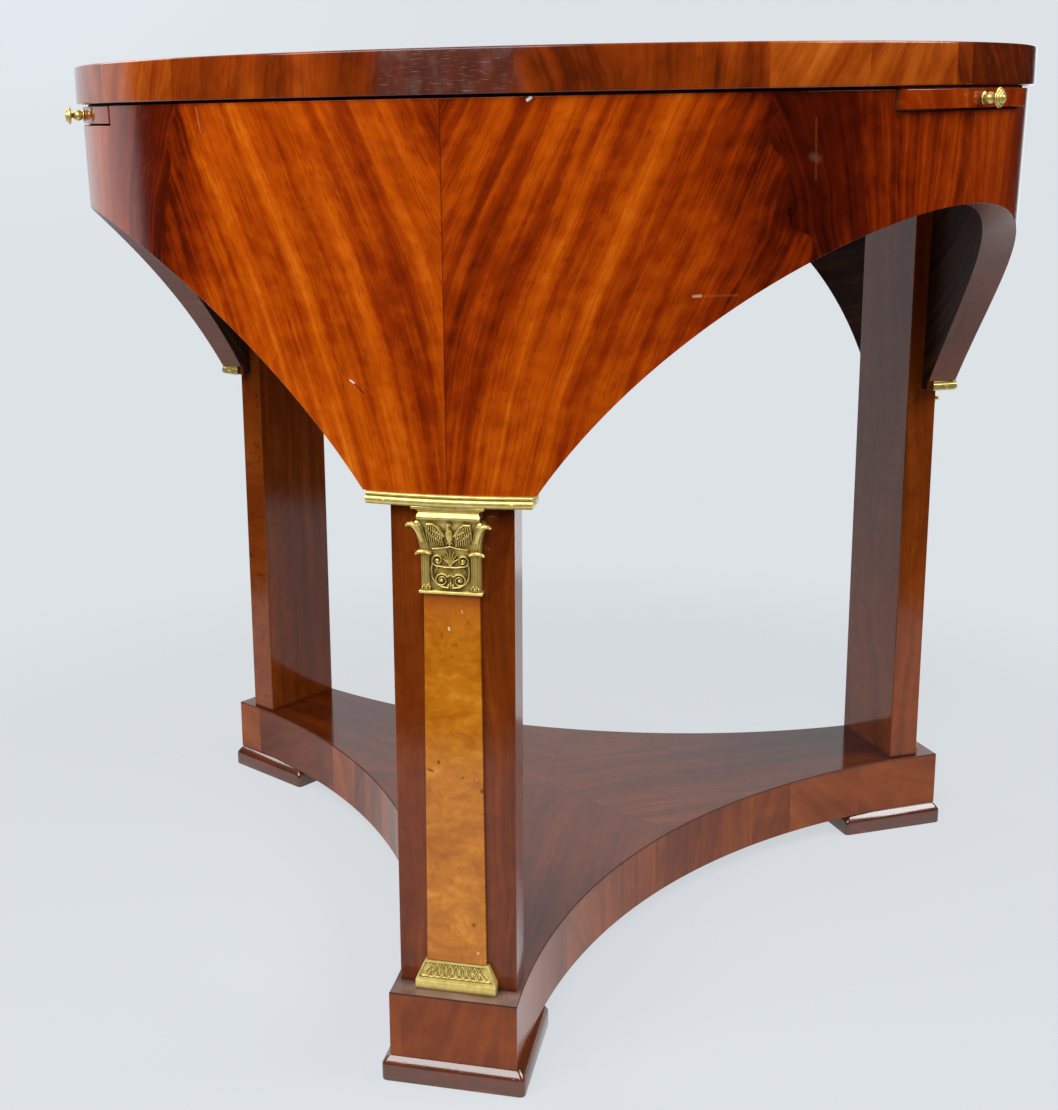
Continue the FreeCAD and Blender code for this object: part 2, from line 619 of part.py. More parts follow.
def make_slide_front():
    """The lipping of a slide, shaped to continue the apron's face."""
    front = block(SLIDE_JOIN, TOP_RADIUS, SLIDE_WIDTH, SLIDE_UNDERSIDE, SLIDE_TOP)
    front = front.common(ring(-APRON_RADIUS / 2, 0, SILL, TOP_UNDERSIDE))
    return front.cut(knob_stud(JOINT_PLAY))


def knob_base():
    """Where a knob's axis meets its slide's face."""
    z = (SLIDE_UNDERSIDE + SLIDE_TOP) / 2
    return Vector(apron_outer(z), 0, z)


def knob_stud(play=0.0):
    """The stud that holds a knob, from the flange's seat into the slide's front."""
    seat = knob_base() + OUTWARD * GLUE_LINE
    return Part.makeCylinder(KNOB_STUD_RADIUS + play, KNOB_STUD_LENGTH + play, seat, -OUTWARD)


def make_knob():
    """A flange, a belly, a thin neck and a round cap, turned about the knob's axis."""
    cap_rim = KNOB_LENGTH - KNOB_CAP_LENGTH
    neck = cap_rim - KNOB_FLANGE_LENGTH / 2
    belly = (KNOB_FLANGE_LENGTH + neck) / 2
    flange_edge = KNOB_FLANGE_LENGTH / 2
    seat = GLUE_LINE
    points = {
        "seat": Vector(KNOB_FLANGE_RADIUS, 0, seat),
        "flange": Vector(KNOB_FLANGE_RADIUS, 0, flange_edge),
        "shoulder": Vector(KNOB_SHOULDER_RADIUS, 0, KNOB_FLANGE_LENGTH),
        "belly": Vector(KNOB_BELLY_RADIUS, 0, belly),
        "neck": Vector(KNOB_NECK_RADIUS, 0, neck),
        "under_cap": Vector(KNOB_NECK_RADIUS, 0, cap_rim),
        "rim_foot": Vector(KNOB_CAP_RADIUS, 0, cap_rim),
        "rim": Vector(KNOB_CAP_RADIUS, 0, cap_rim + flange_edge),
        "end": Vector(0, 0, KNOB_LENGTH),
    }
    edges = [
        Part.makeLine(Vector(0, 0, seat), points["seat"]),
        Part.makeLine(points["seat"], points["flange"]),
        Part.makeLine(points["flange"], points["shoulder"]),
        Part.Arc(points["shoulder"], points["belly"], points["neck"]).toShape(),
        Part.makeLine(points["neck"], points["under_cap"]),
        Part.makeLine(points["under_cap"], points["rim_foot"]),
        Part.makeLine(points["rim_foot"], points["rim"]),
        dome(points["rim"], points["end"]),
        Part.makeLine(points["end"], Vector(0, 0, seat)),
    ]
    turning = placed(lathe(Part.Face(Part.Wire(edges))), knob_base(), OUTWARD)
    return turning.fuse(knob_stud()).removeSplitter()


def make_pieces():
    """Every piece by name, in its place."""
    pieces = {"top_board": make_top_board(), "top_edge_band": make_edge_band()}
    pieces["base_platform"] = make_base()
    pieces["hub_block"] = make_hub()
    leg_pieces = {
        "apron": make_apron(),
        "apron_strip": make_strip(),
        "leg": make_leg(),
        "pilaster": make_pilaster(),
        "capital": make_capital(),
        "pilaster_base": make_plinth(),
        "leg_glue_blocks": make_glue_blocks(),
        "foot": make_foot(),
        "bearer": make_bearer(),
    }
    fixed_slide_pieces = {
        "joint_block": make_joint_block(),
        "slide_guide_a": make_guide(1),
        "slide_guide_b": make_guide(-1),
        "slide_back_rail": make_back_rail(),
    }
    moving_slide_pieces = {
        "slide_board": make_slide_board(),
        "slide_front": make_slide_front(),
        "slide_knob": make_knob(),
        "slide_stop_peg": stop_peg(),
    }
    screws = hub_screws()
    pins = []
    for side, azimuth in LEGS.items():
        for name, shape in leg_pieces.items():
            pieces[f"{name}_{side}"] = turned(shape, azimuth)
        for local in bearer_screws() + leg_screws() + foot_screws():
            screws.append(turned(local, azimuth))
        pins += [turned(local, azimuth) for local in strip_pins()]
    for side, azimuth in SLIDES.items():
        for name, shape in fixed_slide_pieces.items():
            pieces[f"{name}_{side}"] = turned(shape, azimuth)
        for name, shape in moving_slide_pieces.items():
            pulled = shape.copy()
            if side == "right":
                pulled.translate(OUTWARD * RIGHT_SLIDE_PULL)
            pieces[f"{name}_{side}"] = turned(pulled, azimuth)
        for local in guide_screws(1) + guide_screws(-1) + joint_block_screws():
            screws.append(turned(local, azimuth))
    pieces["wood_screws"] = Part.makeCompound(screws)
    pieces["strip_pins"] = Part.makeCompound(pins)
    return pieces


os.makedirs("parts", exist_ok=True)
for piece_name, piece in make_pieces().items():
    piece.exportStep(f"parts/{piece_name}.step")
    print(piece_name, len(piece.Solids), "solid", round(piece.Volume), "mm3", "valid", piece.isValid())
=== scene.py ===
# %% [markdown]
# A round mahogany table in the Empire taste: a top with a cross-veneered edge, a deep apron cut into three
# arches, three flat legs with burl pilasters and brass mounts, and a hollow-sided base on three block feet.
# The construction comes from a fixed frame in metres. This lesson dresses that frame: it models the pieces
# whose curves and ornament show, and it gives every surface a finish made of nodes.

# %% Load the frame
import json
import math

import bmesh
import bpy
import numpy as np
from mathutils import Matrix, Vector


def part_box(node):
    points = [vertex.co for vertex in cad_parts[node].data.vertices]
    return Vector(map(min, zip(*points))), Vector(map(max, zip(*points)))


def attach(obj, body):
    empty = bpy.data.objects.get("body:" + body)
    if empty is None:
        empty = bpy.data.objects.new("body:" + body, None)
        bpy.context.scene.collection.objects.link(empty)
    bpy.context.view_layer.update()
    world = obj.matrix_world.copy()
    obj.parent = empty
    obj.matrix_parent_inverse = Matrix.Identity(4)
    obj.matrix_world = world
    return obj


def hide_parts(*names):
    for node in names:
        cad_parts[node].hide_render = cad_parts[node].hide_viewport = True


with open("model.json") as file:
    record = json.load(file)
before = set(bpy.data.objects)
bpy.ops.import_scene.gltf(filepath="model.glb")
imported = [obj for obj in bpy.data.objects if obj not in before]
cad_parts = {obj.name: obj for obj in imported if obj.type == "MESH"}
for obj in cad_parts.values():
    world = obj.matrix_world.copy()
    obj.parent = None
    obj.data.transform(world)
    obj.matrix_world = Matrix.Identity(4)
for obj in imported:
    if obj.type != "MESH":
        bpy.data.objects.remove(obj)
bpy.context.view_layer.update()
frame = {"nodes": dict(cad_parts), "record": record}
nodes = frame["nodes"]

# %% [markdown]
# The table has threefold symmetry, so each repeated piece is modelled once, facing +X, and turned into place.
# Sizes that the frame holds are read from the boxes of its pieces. The front leg stands towards -Y, so the
# lowest y of a front piece is its greatest radius.

# %% Places and sizes
LEGS = {"front": -90, "right": 30, "left": 150}
SLIDES = {"right": -30, "back": 90, "left": 210}
THIRD = math.radians(120)

TOP_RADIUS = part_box("top_edge_band")[1].x
TOP_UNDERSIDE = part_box("top_edge_band")[0].z
TABLE_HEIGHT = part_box("top_edge_band")[1].z
APRON_RADIUS = -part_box("apron_front")[0].y
APRON_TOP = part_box("apron_front")[1].z
PYLON_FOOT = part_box("apron_front")[0].z
STRIP_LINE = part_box("apron_strip_front")[1].z
PYLON_HALF_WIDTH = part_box("apron_strip_front")[1].x
LEG_FACE = -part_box("leg_front")[0].y
BASE_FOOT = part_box("base_platform")[0].z
BASE_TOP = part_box("base_platform")[1].z
print("top radius", round(TOP_RADIUS, 4), "height", round(TABLE_HEIGHT, 4), "leg face at", round(LEG_FACE, 4))

# %% [markdown]
# A finished mesh is shaded smooth, except where two faces meet at a real corner. A small bevel then rounds
# those corners, because no polished edge is a perfect knife edge and a rounded one catches a line of light.

# %% Helpers that turn points into pieces
SLOTS = {row["node"]: row["material_slot"] for row in frame["record"]["subparts"]}


def as_mesh(name, form, crease=38):
    """A mesh from a bmesh, smooth except where faces meet at more than the crease angle, in degrees."""
    bmesh.ops.recalc_face_normals(form, faces=form.faces)
    mesh = bpy.data.meshes.new(name)
    form.to_mesh(mesh)
    form.free()
    mesh.shade_smooth()
    mesh.set_sharp_from_angle(angle=math.radians(crease))
    return mesh


def stand(name, mesh, material, node, body="table", azimuth=0.0, pull=0.0):
    """Puts a mesh that faces +X at an azimuth and pulled out, in place of a node, on a body, with a material.
    """
    own = mesh.copy()
    own.transform(Matrix.Rotation(math.radians(azimuth), 4, "Z") @ Matrix.Translation((pull, 0, 0)))
    if not own.materials:
        own.materials.append(material)
    piece = bpy.data.objects.new(name, own)
    bpy.context.scene.collection.objects.link(piece)
    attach(piece, body)
    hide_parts(node)
    return piece


def stand_at_legs(name, mesh, material, node):
    """Puts a piece at each leg, in place of that leg's own node."""
    return {side: stand(f"{name}_{side}", mesh, material, f"{node}_{side}", azimuth=azimuth)
            for side, azimuth in LEGS.items()}


def soften(piece, width, segments=2, angle=50):
    """Rounds the corners of a piece."""
    bevel = piece.modifiers.new("soft corners", "BEVEL")
    bevel.width = width
    bevel.segments = segments
    bevel.limit_method = "ANGLE"
    bevel.angle_limit = math.radians(angle)
    bevel.harden_normals = True


print(len(SLOTS), "slots for", len(set(SLOTS.values())), "finishes")

# %% [markdown]
# Every finish here is a net of nodes. Sums of what the nodes put out are written as plain arithmetic, and
# each operation adds a Math node. Colours are written as a painter would mix them, from 0 to 255.


# %% Values and colours
class Value:
    """What a node puts out. Arithmetic on values adds the nodes that work it out."""

    def __init__(self, net, socket):
        self.net = net
        self.socket = socket

    def __add__(self, other):
        return self.net.math("ADD", self, other)

    def __sub__(self, other):
        return self.net.math("SUBTRACT", self, other)

    def __rsub__(self, other):
        return self.net.math("SUBTRACT", other, self)

    def __mul__(self, other):
        return self.net.math("MULTIPLY", self, other)

    def __truediv__(self, other):
        return self.net.math("DIVIDE", self, other)

    def __gt__(self, other):
        return self.net.math("GREATER_THAN", self, other)

    def __abs__(self):
        return self.net.math("ABSOLUTE", self)


def colour(red, green, blue):
    """A colour from 0 to 255 per channel, in the linear light that shaders use."""
    channels = [value / 255 for value in (red, green, blue)]
    linear = [c / 12.92 if c <= 0.04045 else ((c + 0.055) / 1.055) ** 2.4 for c in channels]
    return (*linear, 1.0)


def scale_of(*colours, low=0.0, high=1.0):
    """Stops of a colour scale, evenly spaced from low to high."""
    step = (high - low) / (len(colours) - 1)
    return [(low + step * number, colour(*shade)) for number, shade in enumerate(colours)]


print("values and colours ready")

# %% [markdown]
# A few short calls keep the nets readable: one for each kind of node that the finishes use most. Many
# finishes think in a radius and an angle round the table's axis, so there are calls for those too.


# %% A short way to write node nets
class Net:
    """A node tree, with short calls for the nodes that the finishes use."""

    def __init__(self, tree):
        self.tree = tree

    def fill(self, node, inputs):
        """Links values to a node's inputs, and sets plain numbers and colours on them."""
        for socket, value in inputs.items():
            if isinstance(value, Value):
                self.tree.links.new(value.socket, node.inputs[socket])
            else:
                node.inputs[socket].default_value = value

    def node(self, kind, inputs=None, **settings):
        made = self.tree.nodes.new("ShaderNode" + kind)
        for name, setting in settings.items():
            setattr(made, name, setting)
        self.fill(made, inputs or {})
        return made

    def get(self, kind, inputs=None, output=0, **settings):
        """One output of a new node."""
        return Value(self, self.node(kind, inputs, **settings).outputs[output])

    def all_of(self, kind, inputs=None, **settings):
        """Every output of a new node, in order."""
        return [Value(self, socket) for socket in self.node(kind, inputs, **settings).outputs]

    def math(self, operation, *numbers):
        return self.get("Math", dict(enumerate(numbers)), operation=operation)

    def vector(self, x=0.0, y=0.0, z=0.0):
        return self.get("CombineXYZ", {0: x, 1: y, 2: z})

    def parts(self, vector):
        return self.all_of("SeparateXYZ", {0: vector})

    def length(self, x, y):
        return self.math("SQRT", x * x + y * y)

    def angle(self, x, y):
        return self.math("ARCTAN2", y, x)

    def polar(self, place):
        """A place as its radius and angle round the Z axis, and its height."""
        x, y, z = self.parts(place)
        return self.length(x, y), self.angle(x, y), z

    def split(self, radius, angle):
        """How far a place lies along a line and across it, from its radius and its angle from that line."""
        return radius * self.math("COSINE", angle), radius * self.math("SINE", angle)

    def fold(self, angle):
        """An angle brought into the third round zero."""
        return self.math("WRAP", angle, THIRD / 2, -THIRD / 2)

    def here(self, azimuth=None):
        """Where a point lies on its own piece, so that the finish moves with the piece. With an azimuth, the
        piece is one of three round the table, and its places are turned back as if it faced +X."""
        place = self.get("TexCoord", output="Object")
        if azimuth is None:
            return place
        radius, angle, z = self.polar(place)
        return self.vector(*self.split(radius, self.fold(angle - math.radians(azimuth))), z)

    def noise(self, vector, scale=1.0, detail=2.0, roughness=0.5):
        inputs = {"Vector": vector, "Scale": scale, "Detail": detail, "Roughness": roughness}
        return self.get("TexNoise", inputs)

    def random(self, number):
        """A number from 0 to 1 that is always the same for the same number."""
        return self.get("TexWhiteNoise", {"W": number}, noise_dimensions="1D")

    def smooth(self, value, low, high, start=0.0, end=1.0):
        """A soft step from start to end as the value goes from low to high."""
        inputs = {"Value": value, "From Min": low, "From Max": high, "To Min": start, "To Max": end}
        return self.get("MapRange", inputs, interpolation_type="SMOOTHSTEP")

    def band(self, value, low, full, falling, high):
        """A soft band: it rises from low to full and falls from falling to high."""
        return self.smooth(value, low, full) * self.smooth(value, falling, high, 1.0, 0.0)

    def mix(self, factor, first, second):
        return self.get("Mix", {0: factor, 2: first, 3: second}, data_type="FLOAT")

    def tint(self, factor, first, second):
        return self.get("Mix", {0: factor, 6: first, 7: second}, output=2, data_type="RGBA")

    def ramp(self, factor, stops, steps=False):
        """A colour scale through (place, colour) stops, which blends or goes in steps."""
        made = self.node("ValToRGB", {0: factor})
        made.color_ramp.interpolation = "CONSTANT" if steps else "LINEAR"
        scale = made.color_ramp.elements
        for _ in stops[2:]:
            scale.new(0.5)
        for element, (place, shade) in zip(scale, stops):
            element.position = place
            element.color = shade
        return Value(self, made.outputs[0])

    def ray_kinds(self):
        """Masks for the rays that come from the camera, off a glossy surface and through a clear one."""
        paths = self.node("LightPath").outputs
        return [Value(self, paths[f"Is {kind} Ray"]) for kind in ("Camera", "Glossy", "Transmission")]


class Finish(Net):
    """The net of a new material, with its one shader."""

    def __init__(self, name):
        self.material = bpy.data.materials.new(name)
        self.material.use_nodes = True
        super().__init__(self.material.node_tree)
        self.shader = self.tree.nodes["Principled BSDF"]


def new_effect(name, inputs, outputs):
    """A node group with number sockets: its net, the values that come in, and its output node."""
    tree = bpy.data.node_groups.new(name, "ShaderNodeTree")
    for direction, sockets in (("INPUT", inputs), ("OUTPUT", outputs)):
        for socket in sockets:
            tree.interface.new_socket(socket, in_out=direction, socket_type="NodeSocketFloat")
    net = Net(tree)
    source = tree.nodes.new("NodeGroupInput")
    values = [Value(net, source.outputs[socket]) for socket in inputs]
    return net, values, tree.nodes.new("NodeGroupOutput")


print("node helpers ready")

# %% [markdown]
# Mahogany shows three scales of figure: ribbons a thumb wide, stripes inside them, and hair lines. Soft
# mottled clouds cross them, and over them lie the pores, short dark dashes along the grain. The group takes
# a place as two lengths, across and along the grain, so a finish can bend its grain by bending those two
# lengths.

# %% Effect: mahogany figure
net, (across, along, seed, ribbon), sink = new_effect(
    "mahogany figure", ["Across", "Along", "Seed", "Ribbon"], ["Figure", "Pores"])
figure_effect = net.tree


def grain_noise(width, length, shift, detail=2.0):
    """Noise drawn out along the grain."""
    return net.noise(net.vector(across / width, along / length, seed + shift), detail=detail)


STRIPE, HAIR, PORE, MOTTLE = 0.0046, 0.0010, 0.0007, 0.010
RAGGED = 0.0016
across = (grain_noise(0.004, 0.020, 5.2, detail=3.0) - 0.5) * RAGGED + across
ribbons = net.smooth(grain_noise(ribbon, 0.40, 0.0), 0.28, 0.74)
stripes = net.smooth(grain_noise(STRIPE, 0.22, 7.3), 0.28, 0.74)
hairs = net.smooth(grain_noise(HAIR, 0.045, 3.1), 0.25, 0.75)
mottle = net.smooth(grain_noise(MOTTLE, 0.014, 9.4, detail=4.0), 0.28, 0.74)
pores = net.smooth(grain_noise(PORE, 0.008, 1.7, detail=1.0), 0.60, 0.76)
net.fill(sink, {"Figure": ribbons * 0.44 + stripes * 0.24 + hairs * 0.13 + mottle * 0.20, "Pores": pores})
print("effect", figure_effect.name)

# %% [markdown]
# French polish is a thin film of shellac rubbed to a mirror. It is never quite even: it ripples a little and
# dulls where hands and cloths have rubbed it. The group gives a roughness, a height for the bump, and a mask
# for the dull spots.

# %% Effect: french polish
net, (x, y, z, pores), sink = new_effect(
    "french polish", ["X", "Y", "Z", "Pores"], ["Roughness", "Height", "Dull"])
polish_effect = net.tree
place = net.vector(x, y, z)
cloudy = net.noise(place, scale=14.0, detail=3.0)
scuffs = net.smooth(net.noise(place, scale=70.0, detail=5.0, roughness=0.65), 0.62, 0.78)
rubbed = scuffs * net.smooth(cloudy, 0.48, 0.66)
ripple = net.noise(place, scale=30.0, detail=1.0)
net.fill(sink, {"Roughness": cloudy * 0.10 + 0.06 + rubbed * 0.22, "Height": ripple * 0.5 - pores * 0.12,
                "Dull": rubbed})
print("effect", polish_effect.name)

# %% [markdown]
# A polished wood is a colour, pores and this polish, so one function joins them to the shader. The wood under
# the film scatters light, and the film gives the mirror: one Principled shader holds both. Mahogany under old
# shellac runs from nearly black through red brown to orange, so two colour scales serve its veneers: a vivid
# one for the figured leaves and a quieter one for the plain pieces. A tone from 0 to 1 picks the colour. The
# shine is how much light the film throws back: a waxed foot gives more, a worn side less.

# %% Joining colour, pores and polish
PORE_DEPTH = 0.0005
VIVID = scale_of((38, 5, 1), (84, 19, 1), (138, 44, 2), (180, 75, 4), (210, 108, 20))
QUIET = scale_of((54, 17, 4), (84, 32, 6), (114, 49, 10), (142, 68, 18), (172, 94, 36))


def french_polish(net, shade, pores, place, dull=0.0, shine=0.5):
    """Finishes a material with a wood colour under polish, with dark pores and pale dull spots."""
    x, y, z = net.parts(place)
    inputs = {"X": x, "Y": y, "Z": z, "Pores": pores}
    gloss, height, rubbed = net.all_of("Group", inputs, node_tree=polish_effect)
    shade = net.tint(pores * 0.42, shade, colour(44, 12, 3))
    shade = net.tint(rubbed * 0.14, shade, colour(170, 120, 95))
    bump = net.get("Bump", {"Strength": 0.25, "Distance": PORE_DEPTH, "Height": height})
    net.fill(net.shader, {"Base Color": shade, "Roughness": gloss + dull, "Normal": bump,
                          "Specular IOR Level": shine})
    return net.material


def figured(net, across, along, seed, ribbon):
    """The figure, about zero, and the pores of mahogany at a place across and along its grain."""
    inputs = {"Across": across, "Along": along, "Seed": seed, "Ribbon": ribbon}
    figure, pores = net.all_of("Group", inputs, node_tree=figure_effect)
    return figure - 0.5, pores


def clouded(net, place, scale, amount):
    """Slow drifts of tone, about zero."""
    return (net.noise(place, scale=scale) - 0.5) * amount


print("polish joins", polish_effect.name, "and", figure_effect.name)

# %% [markdown]
# The apron's veneer is the table's showpiece. Two leaves cut one after the other are opened like a book on
# the pylon's centre line, so their ribbons fan up and outwards in a V. Their fibres run into the wood on one
# side and out of it on the other, which makes one leaf look lighter than its twin under light from one side.
# That difference is painted into the colour: one twin gets a painted sheen and the other painted shade, in
# the crown leaves too. Darker leaves with upright grain follow at the crown of each arch. On the unrolled
# face the ribbons follow curves that lean more the further out and the higher they are, which a logarithm of
# the distance from the seam gives in one formula. Towards the end of the first leaf the figure grows dark and
# swirls.

# %% Finish: bookmatched apron veneer
FAN_REACH, FAN_LEAN = 0.70, 0.34
FAN_CLOSES, CLOSED_BELOW = 0.10, 0.22
CLOSING, CLOSING_FALL = 0.30, 0.15
SEAM_AT, SEAM_LEAN, SEAM_WANDER = 0.305, 0.33, 0.05
CROWN_FAN, CROWN_RISE, CROWN_SHIFT = 4.0, 0.25, 0.06
SEAM_HALF_WIDTH = 0.0003
VENEER_RIBBON = 0.018
PAINTED_SHEEN_LEAF, PAINTED_SHADE_LEAF, LEAF_END = 0.68, 0.56, 0.16


def leaf_grain(net, out, rise, past_seam):
    """How far across the grain a place lies, on the fanned leaf or on the crown leaf past the seam."""
    fan = net.math("LOGARITHM", out / FAN_REACH + 1.0, math.e)
    low = net.math("MINIMUM", rise, CLOSED_BELOW)
    closing = low * (CLOSING - low * (CLOSING_FALL / CLOSED_BELOW)) * net.math("EXPONENT", out / -FAN_CLOSES)
    fanned = fan * FAN_REACH + closing - rise * FAN_LEAN
    from_crown = THIRD / 2 * APRON_RADIUS - CROWN_SHIFT - out
    crowned = from_crown * (1.0 + CROWN_FAN * CROWN_RISE - rise * CROWN_FAN)
    return net.mix(past_seam > 0.0, fanned, crowned)


def leaf_tone(net, place, out, rise, side, past, crown_tones):
    """The tone of the leaves: twins with a painted sheen and painted shade, darkening outwards, and the crown
    leaves.
    """
    dusk = out + clouded(net, place, 16.0, 0.05)
    # The lighter twin carries a painted sheen and the darker twin painted shade, for light on the fibres.
    light = net.smooth(out, 0.0, 0.08, PAINTED_SHEEN_LEAF - 0.12, PAINTED_SHEEN_LEAF)
    light = light - net.smooth(dusk, 0.18, 0.235, 0.0, 0.36)
    dark = net.smooth(out, 0.03, 0.13, PAINTED_SHADE_LEAF - 0.04, PAINTED_SHADE_LEAF + 0.06)
    dark = dark - net.smooth(dusk, 0.16, 0.24, 0.0, 0.34)
    crown = net.mix(side, *crown_tones)
    end = net.mix(net.smooth(dusk, 0.26, 0.35), net.mix(side, LEAF_END + 0.12, LEAF_END), crown)
    tone = net.mix(past, net.mix(side, light, dark), end)
    return tone + net.smooth(rise, 0.04, 0.14, 0.09, 0.0) + clouded(net, place, 12.0, 0.20)


def stroke(net, across, up, start, end, width):
    """A mask for a scratch from one (across, up) point to another."""
    line = Vector(end) - Vector(start)
    from_x, from_y = across - start[0], up - start[1]
    share = (from_x * line.x + from_y * line.y) / line.length_squared
    share = net.math("MINIMUM", net.math("MAXIMUM", share, 0.0), 1.0)
    off = net.length(from_x - share * line.x, from_y - share * line.y)
    return net.smooth(off, 0.0, width, 1.0, 0.0)


def apron_veneer(name, crown_tones, azimuth, middle_angle=0.0, marks=()):
    """Bookmatched veneer on the apron's face. The azimuth is one piece's, and the middle angle is from its
    middle to the pylon's."""
    net = Finish(name)
    place = net.here(azimuth)
    x, y, z = net.parts(place)
    run = (net.angle(x, y) - middle_angle) * APRON_RADIUS
    out, side = abs(run), run > 0.0
    rise = z - STRIP_LINE
    past_seam = rise * SEAM_LEAN + out - SEAM_AT + clouded(net, net.vector(run, rise, 4.0), 22.0, SEAM_WANDER)
    past = net.smooth(past_seam, -0.012, 0.012)
    swirl = clouded(net, net.vector(run, rise, 2.0), 9.0, net.smooth(out, 0.15, 0.25, 0.006, 0.030))
    grain = leaf_grain(net, out, rise, past_seam) + swirl
    seed = (past_seam > 0.0) * 6.0 + side * 0.35
    figure, pores = figured(net, grain, rise, seed, VENEER_RIBBON)
    tone = leaf_tone(net, place, out, rise, side, past, crown_tones)
    strength = net.mix(past, 0.74, net.mix(side, 0.36, 0.56))
    shade = net.ramp(figure * strength + tone, VIVID)
    line = net.smooth(out, SEAM_HALF_WIDTH, 2 * SEAM_HALF_WIDTH, 0.6, 0.0)
    shade = net.tint(line, shade, colour(60, 14, 2))
    for start, end, width, amount, mark in marks:
        shade = net.tint(stroke(net, run, z, start, end, width) * amount, shade, mark)
    return french_polish(net, shade, pores, place)


print("leaves fan over", FAN_REACH, "m and end", SEAM_AT, "m from the middle")

# %% [markdown]
# The front third of the apron has a few scratches: pale where the polish is chipped and red where bare wood
# shows. Each is a stroke from one point to another on the unrolled face, with its width, strength and colour.
# The undersides of the arches carry strips of plain veneer with their grain across the apron's thickness.

# %% Finishes: apron, slide fronts and soffits
PALE, RED = colour(236, 236, 232), colour(52, 12, 6)
SCRATCHES = [
    ((0.0580, 0.7256), (0.0600, 0.7271), 0.0016, 1.0, PALE),
    ((-0.0700, 0.5375), (-0.0670, 0.5355), 0.0010, 0.9, PALE),
    ((-0.0665, 0.5350), (-0.0600, 0.5290), 0.0010, 0.8, RED),
    ((0.1700, 0.5950), (0.1750, 0.5951), 0.0016, 0.6, colour(222, 186, 140)),
    ((0.1760, 0.5950), (0.2020, 0.5945), 0.0012, 0.12, colour(210, 140, 80)),
    ((0.2560, 0.7100), (0.2580, 0.6700), 0.0016, 0.14, colour(190, 100, 50)),
    ((0.2545, 0.6850), (0.2590, 0.6830), 0.0045, 0.18, colour(150, 110, 100)),
    ((-0.1960, 0.7250), (-0.1930, 0.7080), 0.0012, 0.30, colour(214, 150, 90)),
]
# Each pair holds the tones of a crown leaf's twins: the lighter one is a painted sheen, the darker painted
# shade.
FRONT_CROWN, BACK_CROWN, SLIDE_CROWN = (0.63, 0.47), (0.55, 0.47), (0.50, 0.50)


def soffit_veneer(name):
    net = Finish(name)
    place = net.here()
    radius, angle, z = net.polar(place)
    figure, pores = figured(net, angle * APRON_RADIUS + z, radius, 5.0, 0.012)
    tone = figure * 0.36 + clouded(net, place, 9.0, 0.2) + 0.45
    return french_polish(net, net.ramp(tone, QUIET), pores, place, dull=0.16)


apron_finish = apron_veneer("apron veneer", BACK_CROWN, LEGS["front"])
front_apron_finish = apron_veneer("apron veneer, front", FRONT_CROWN, LEGS["front"], marks=SCRATCHES)
soffit_finish = soffit_veneer("soffit veneer")
slide_finish = apron_veneer("slide veneer", SLIDE_CROWN, SLIDES["right"], THIRD / 2)
print("finishes", apron_finish.name, "and", slide_finish.name, "with", len(SCRATCHES), "scratches")

# %% [markdown]
# The edge of the top is cross-veneered: short leaves side by side round the rim, each with its grain almost
# upright and its own tone. A list gives the angle where each leaf begins and its tone, and a random number
# for each leaf sets the slant of its grain. A patch over the front leg has darkened and bloomed, and it is
# scratched.

# %% Finish: cross-veneered edge
EDGE_SHADES = scale_of((46, 12, 3), (90, 30, 4), (138, 53, 7), (172, 82, 18), (208, 124, 48))
EDGE_LEAVES = [(-180, 0.50), (-137, 0.60), (-121, 0.42), (-106, 0.46), (-84, 0.39), (-74, 0.46), (-60, 0.67),
               (-49, 0.64), (-35.5, 0.38), (-32.5, 0.22), (-3, 0.56), (30, 0.48), (72, 0.60), (118, 0.51),
               (150, 0.57)]
WORN_FROM, WORN_TO = math.radians(-96), math.radians(-82)
SCRATCH_LENGTH, SCRATCH_WIDTH = 0.011, 0.00055


def edge_veneer(name):
    """The leaves of veneer round the edge, each with a tone and a slant of its own."""
    net = Finish(name)
    place = net.here()
    x, y, z = net.parts(place)
    angle = net.angle(x, y)
    stops = [((start + 180) / 360, (tone, tone, tone, 1.0)) for start, tone in EDGE_LEAVES]
    leaf = net.ramp(angle / math.tau + 0.5, stops, steps=True)
    slant = net.random(leaf)
    run = angle * TOP_RADIUS
    bent = z * (slant - 0.5) * 1.8 + run + clouded(net, place, 16.0, 0.02)
    figure, pores = figured(net, bent, z, slant * 37.0, 0.018)
    tone = figure * 0.45 + (leaf + clouded(net, place, 26.0, 0.36))
    ragged_angle = angle + clouded(net, place, 60.0, 0.05)
    patch = net.band(ragged_angle, WORN_FROM - 0.02, WORN_FROM + 0.02, WORN_TO - 0.04, WORN_TO + 0.02)
    shade = net.ramp(tone - patch * 0.22, EDGE_SHADES)
    shade = net.tint(patch * 0.40, shade, colour(94, 56, 46))
    bloom = net.smooth(net.noise(place, scale=95.0, detail=4.0), 0.46, 0.66) * patch
    shade = net.tint(bloom * 0.15, shade, colour(134, 104, 102))
    drawn_out = net.vector(run / SCRATCH_LENGTH, z / SCRATCH_WIDTH, 4.0)
    scratches = net.smooth(net.noise(drawn_out, detail=4.0, roughness=0.6), 0.58, 0.74) * patch
    shade = net.tint(scratches * 0.50, shade, colour(190, 176, 178))
    return french_polish(net, shade, pores, place, dull=patch * 0.05)


edge_finish = edge_veneer("cross-veneered edge")
print("finish", edge_finish.name, "with", len(EDGE_LEAVES), "leaves")

# %% [markdown]
# The top's face is not seen from the front. Round tables of this kind are veneered in wedges, so the face
# gets eight wedges in mirrored pairs inside a narrow cross-grained border.

# %% Finish: wedge-matched top
WEDGE = math.radians(45)
WEDGE_FLAME = 2.6
BORDER = 0.034


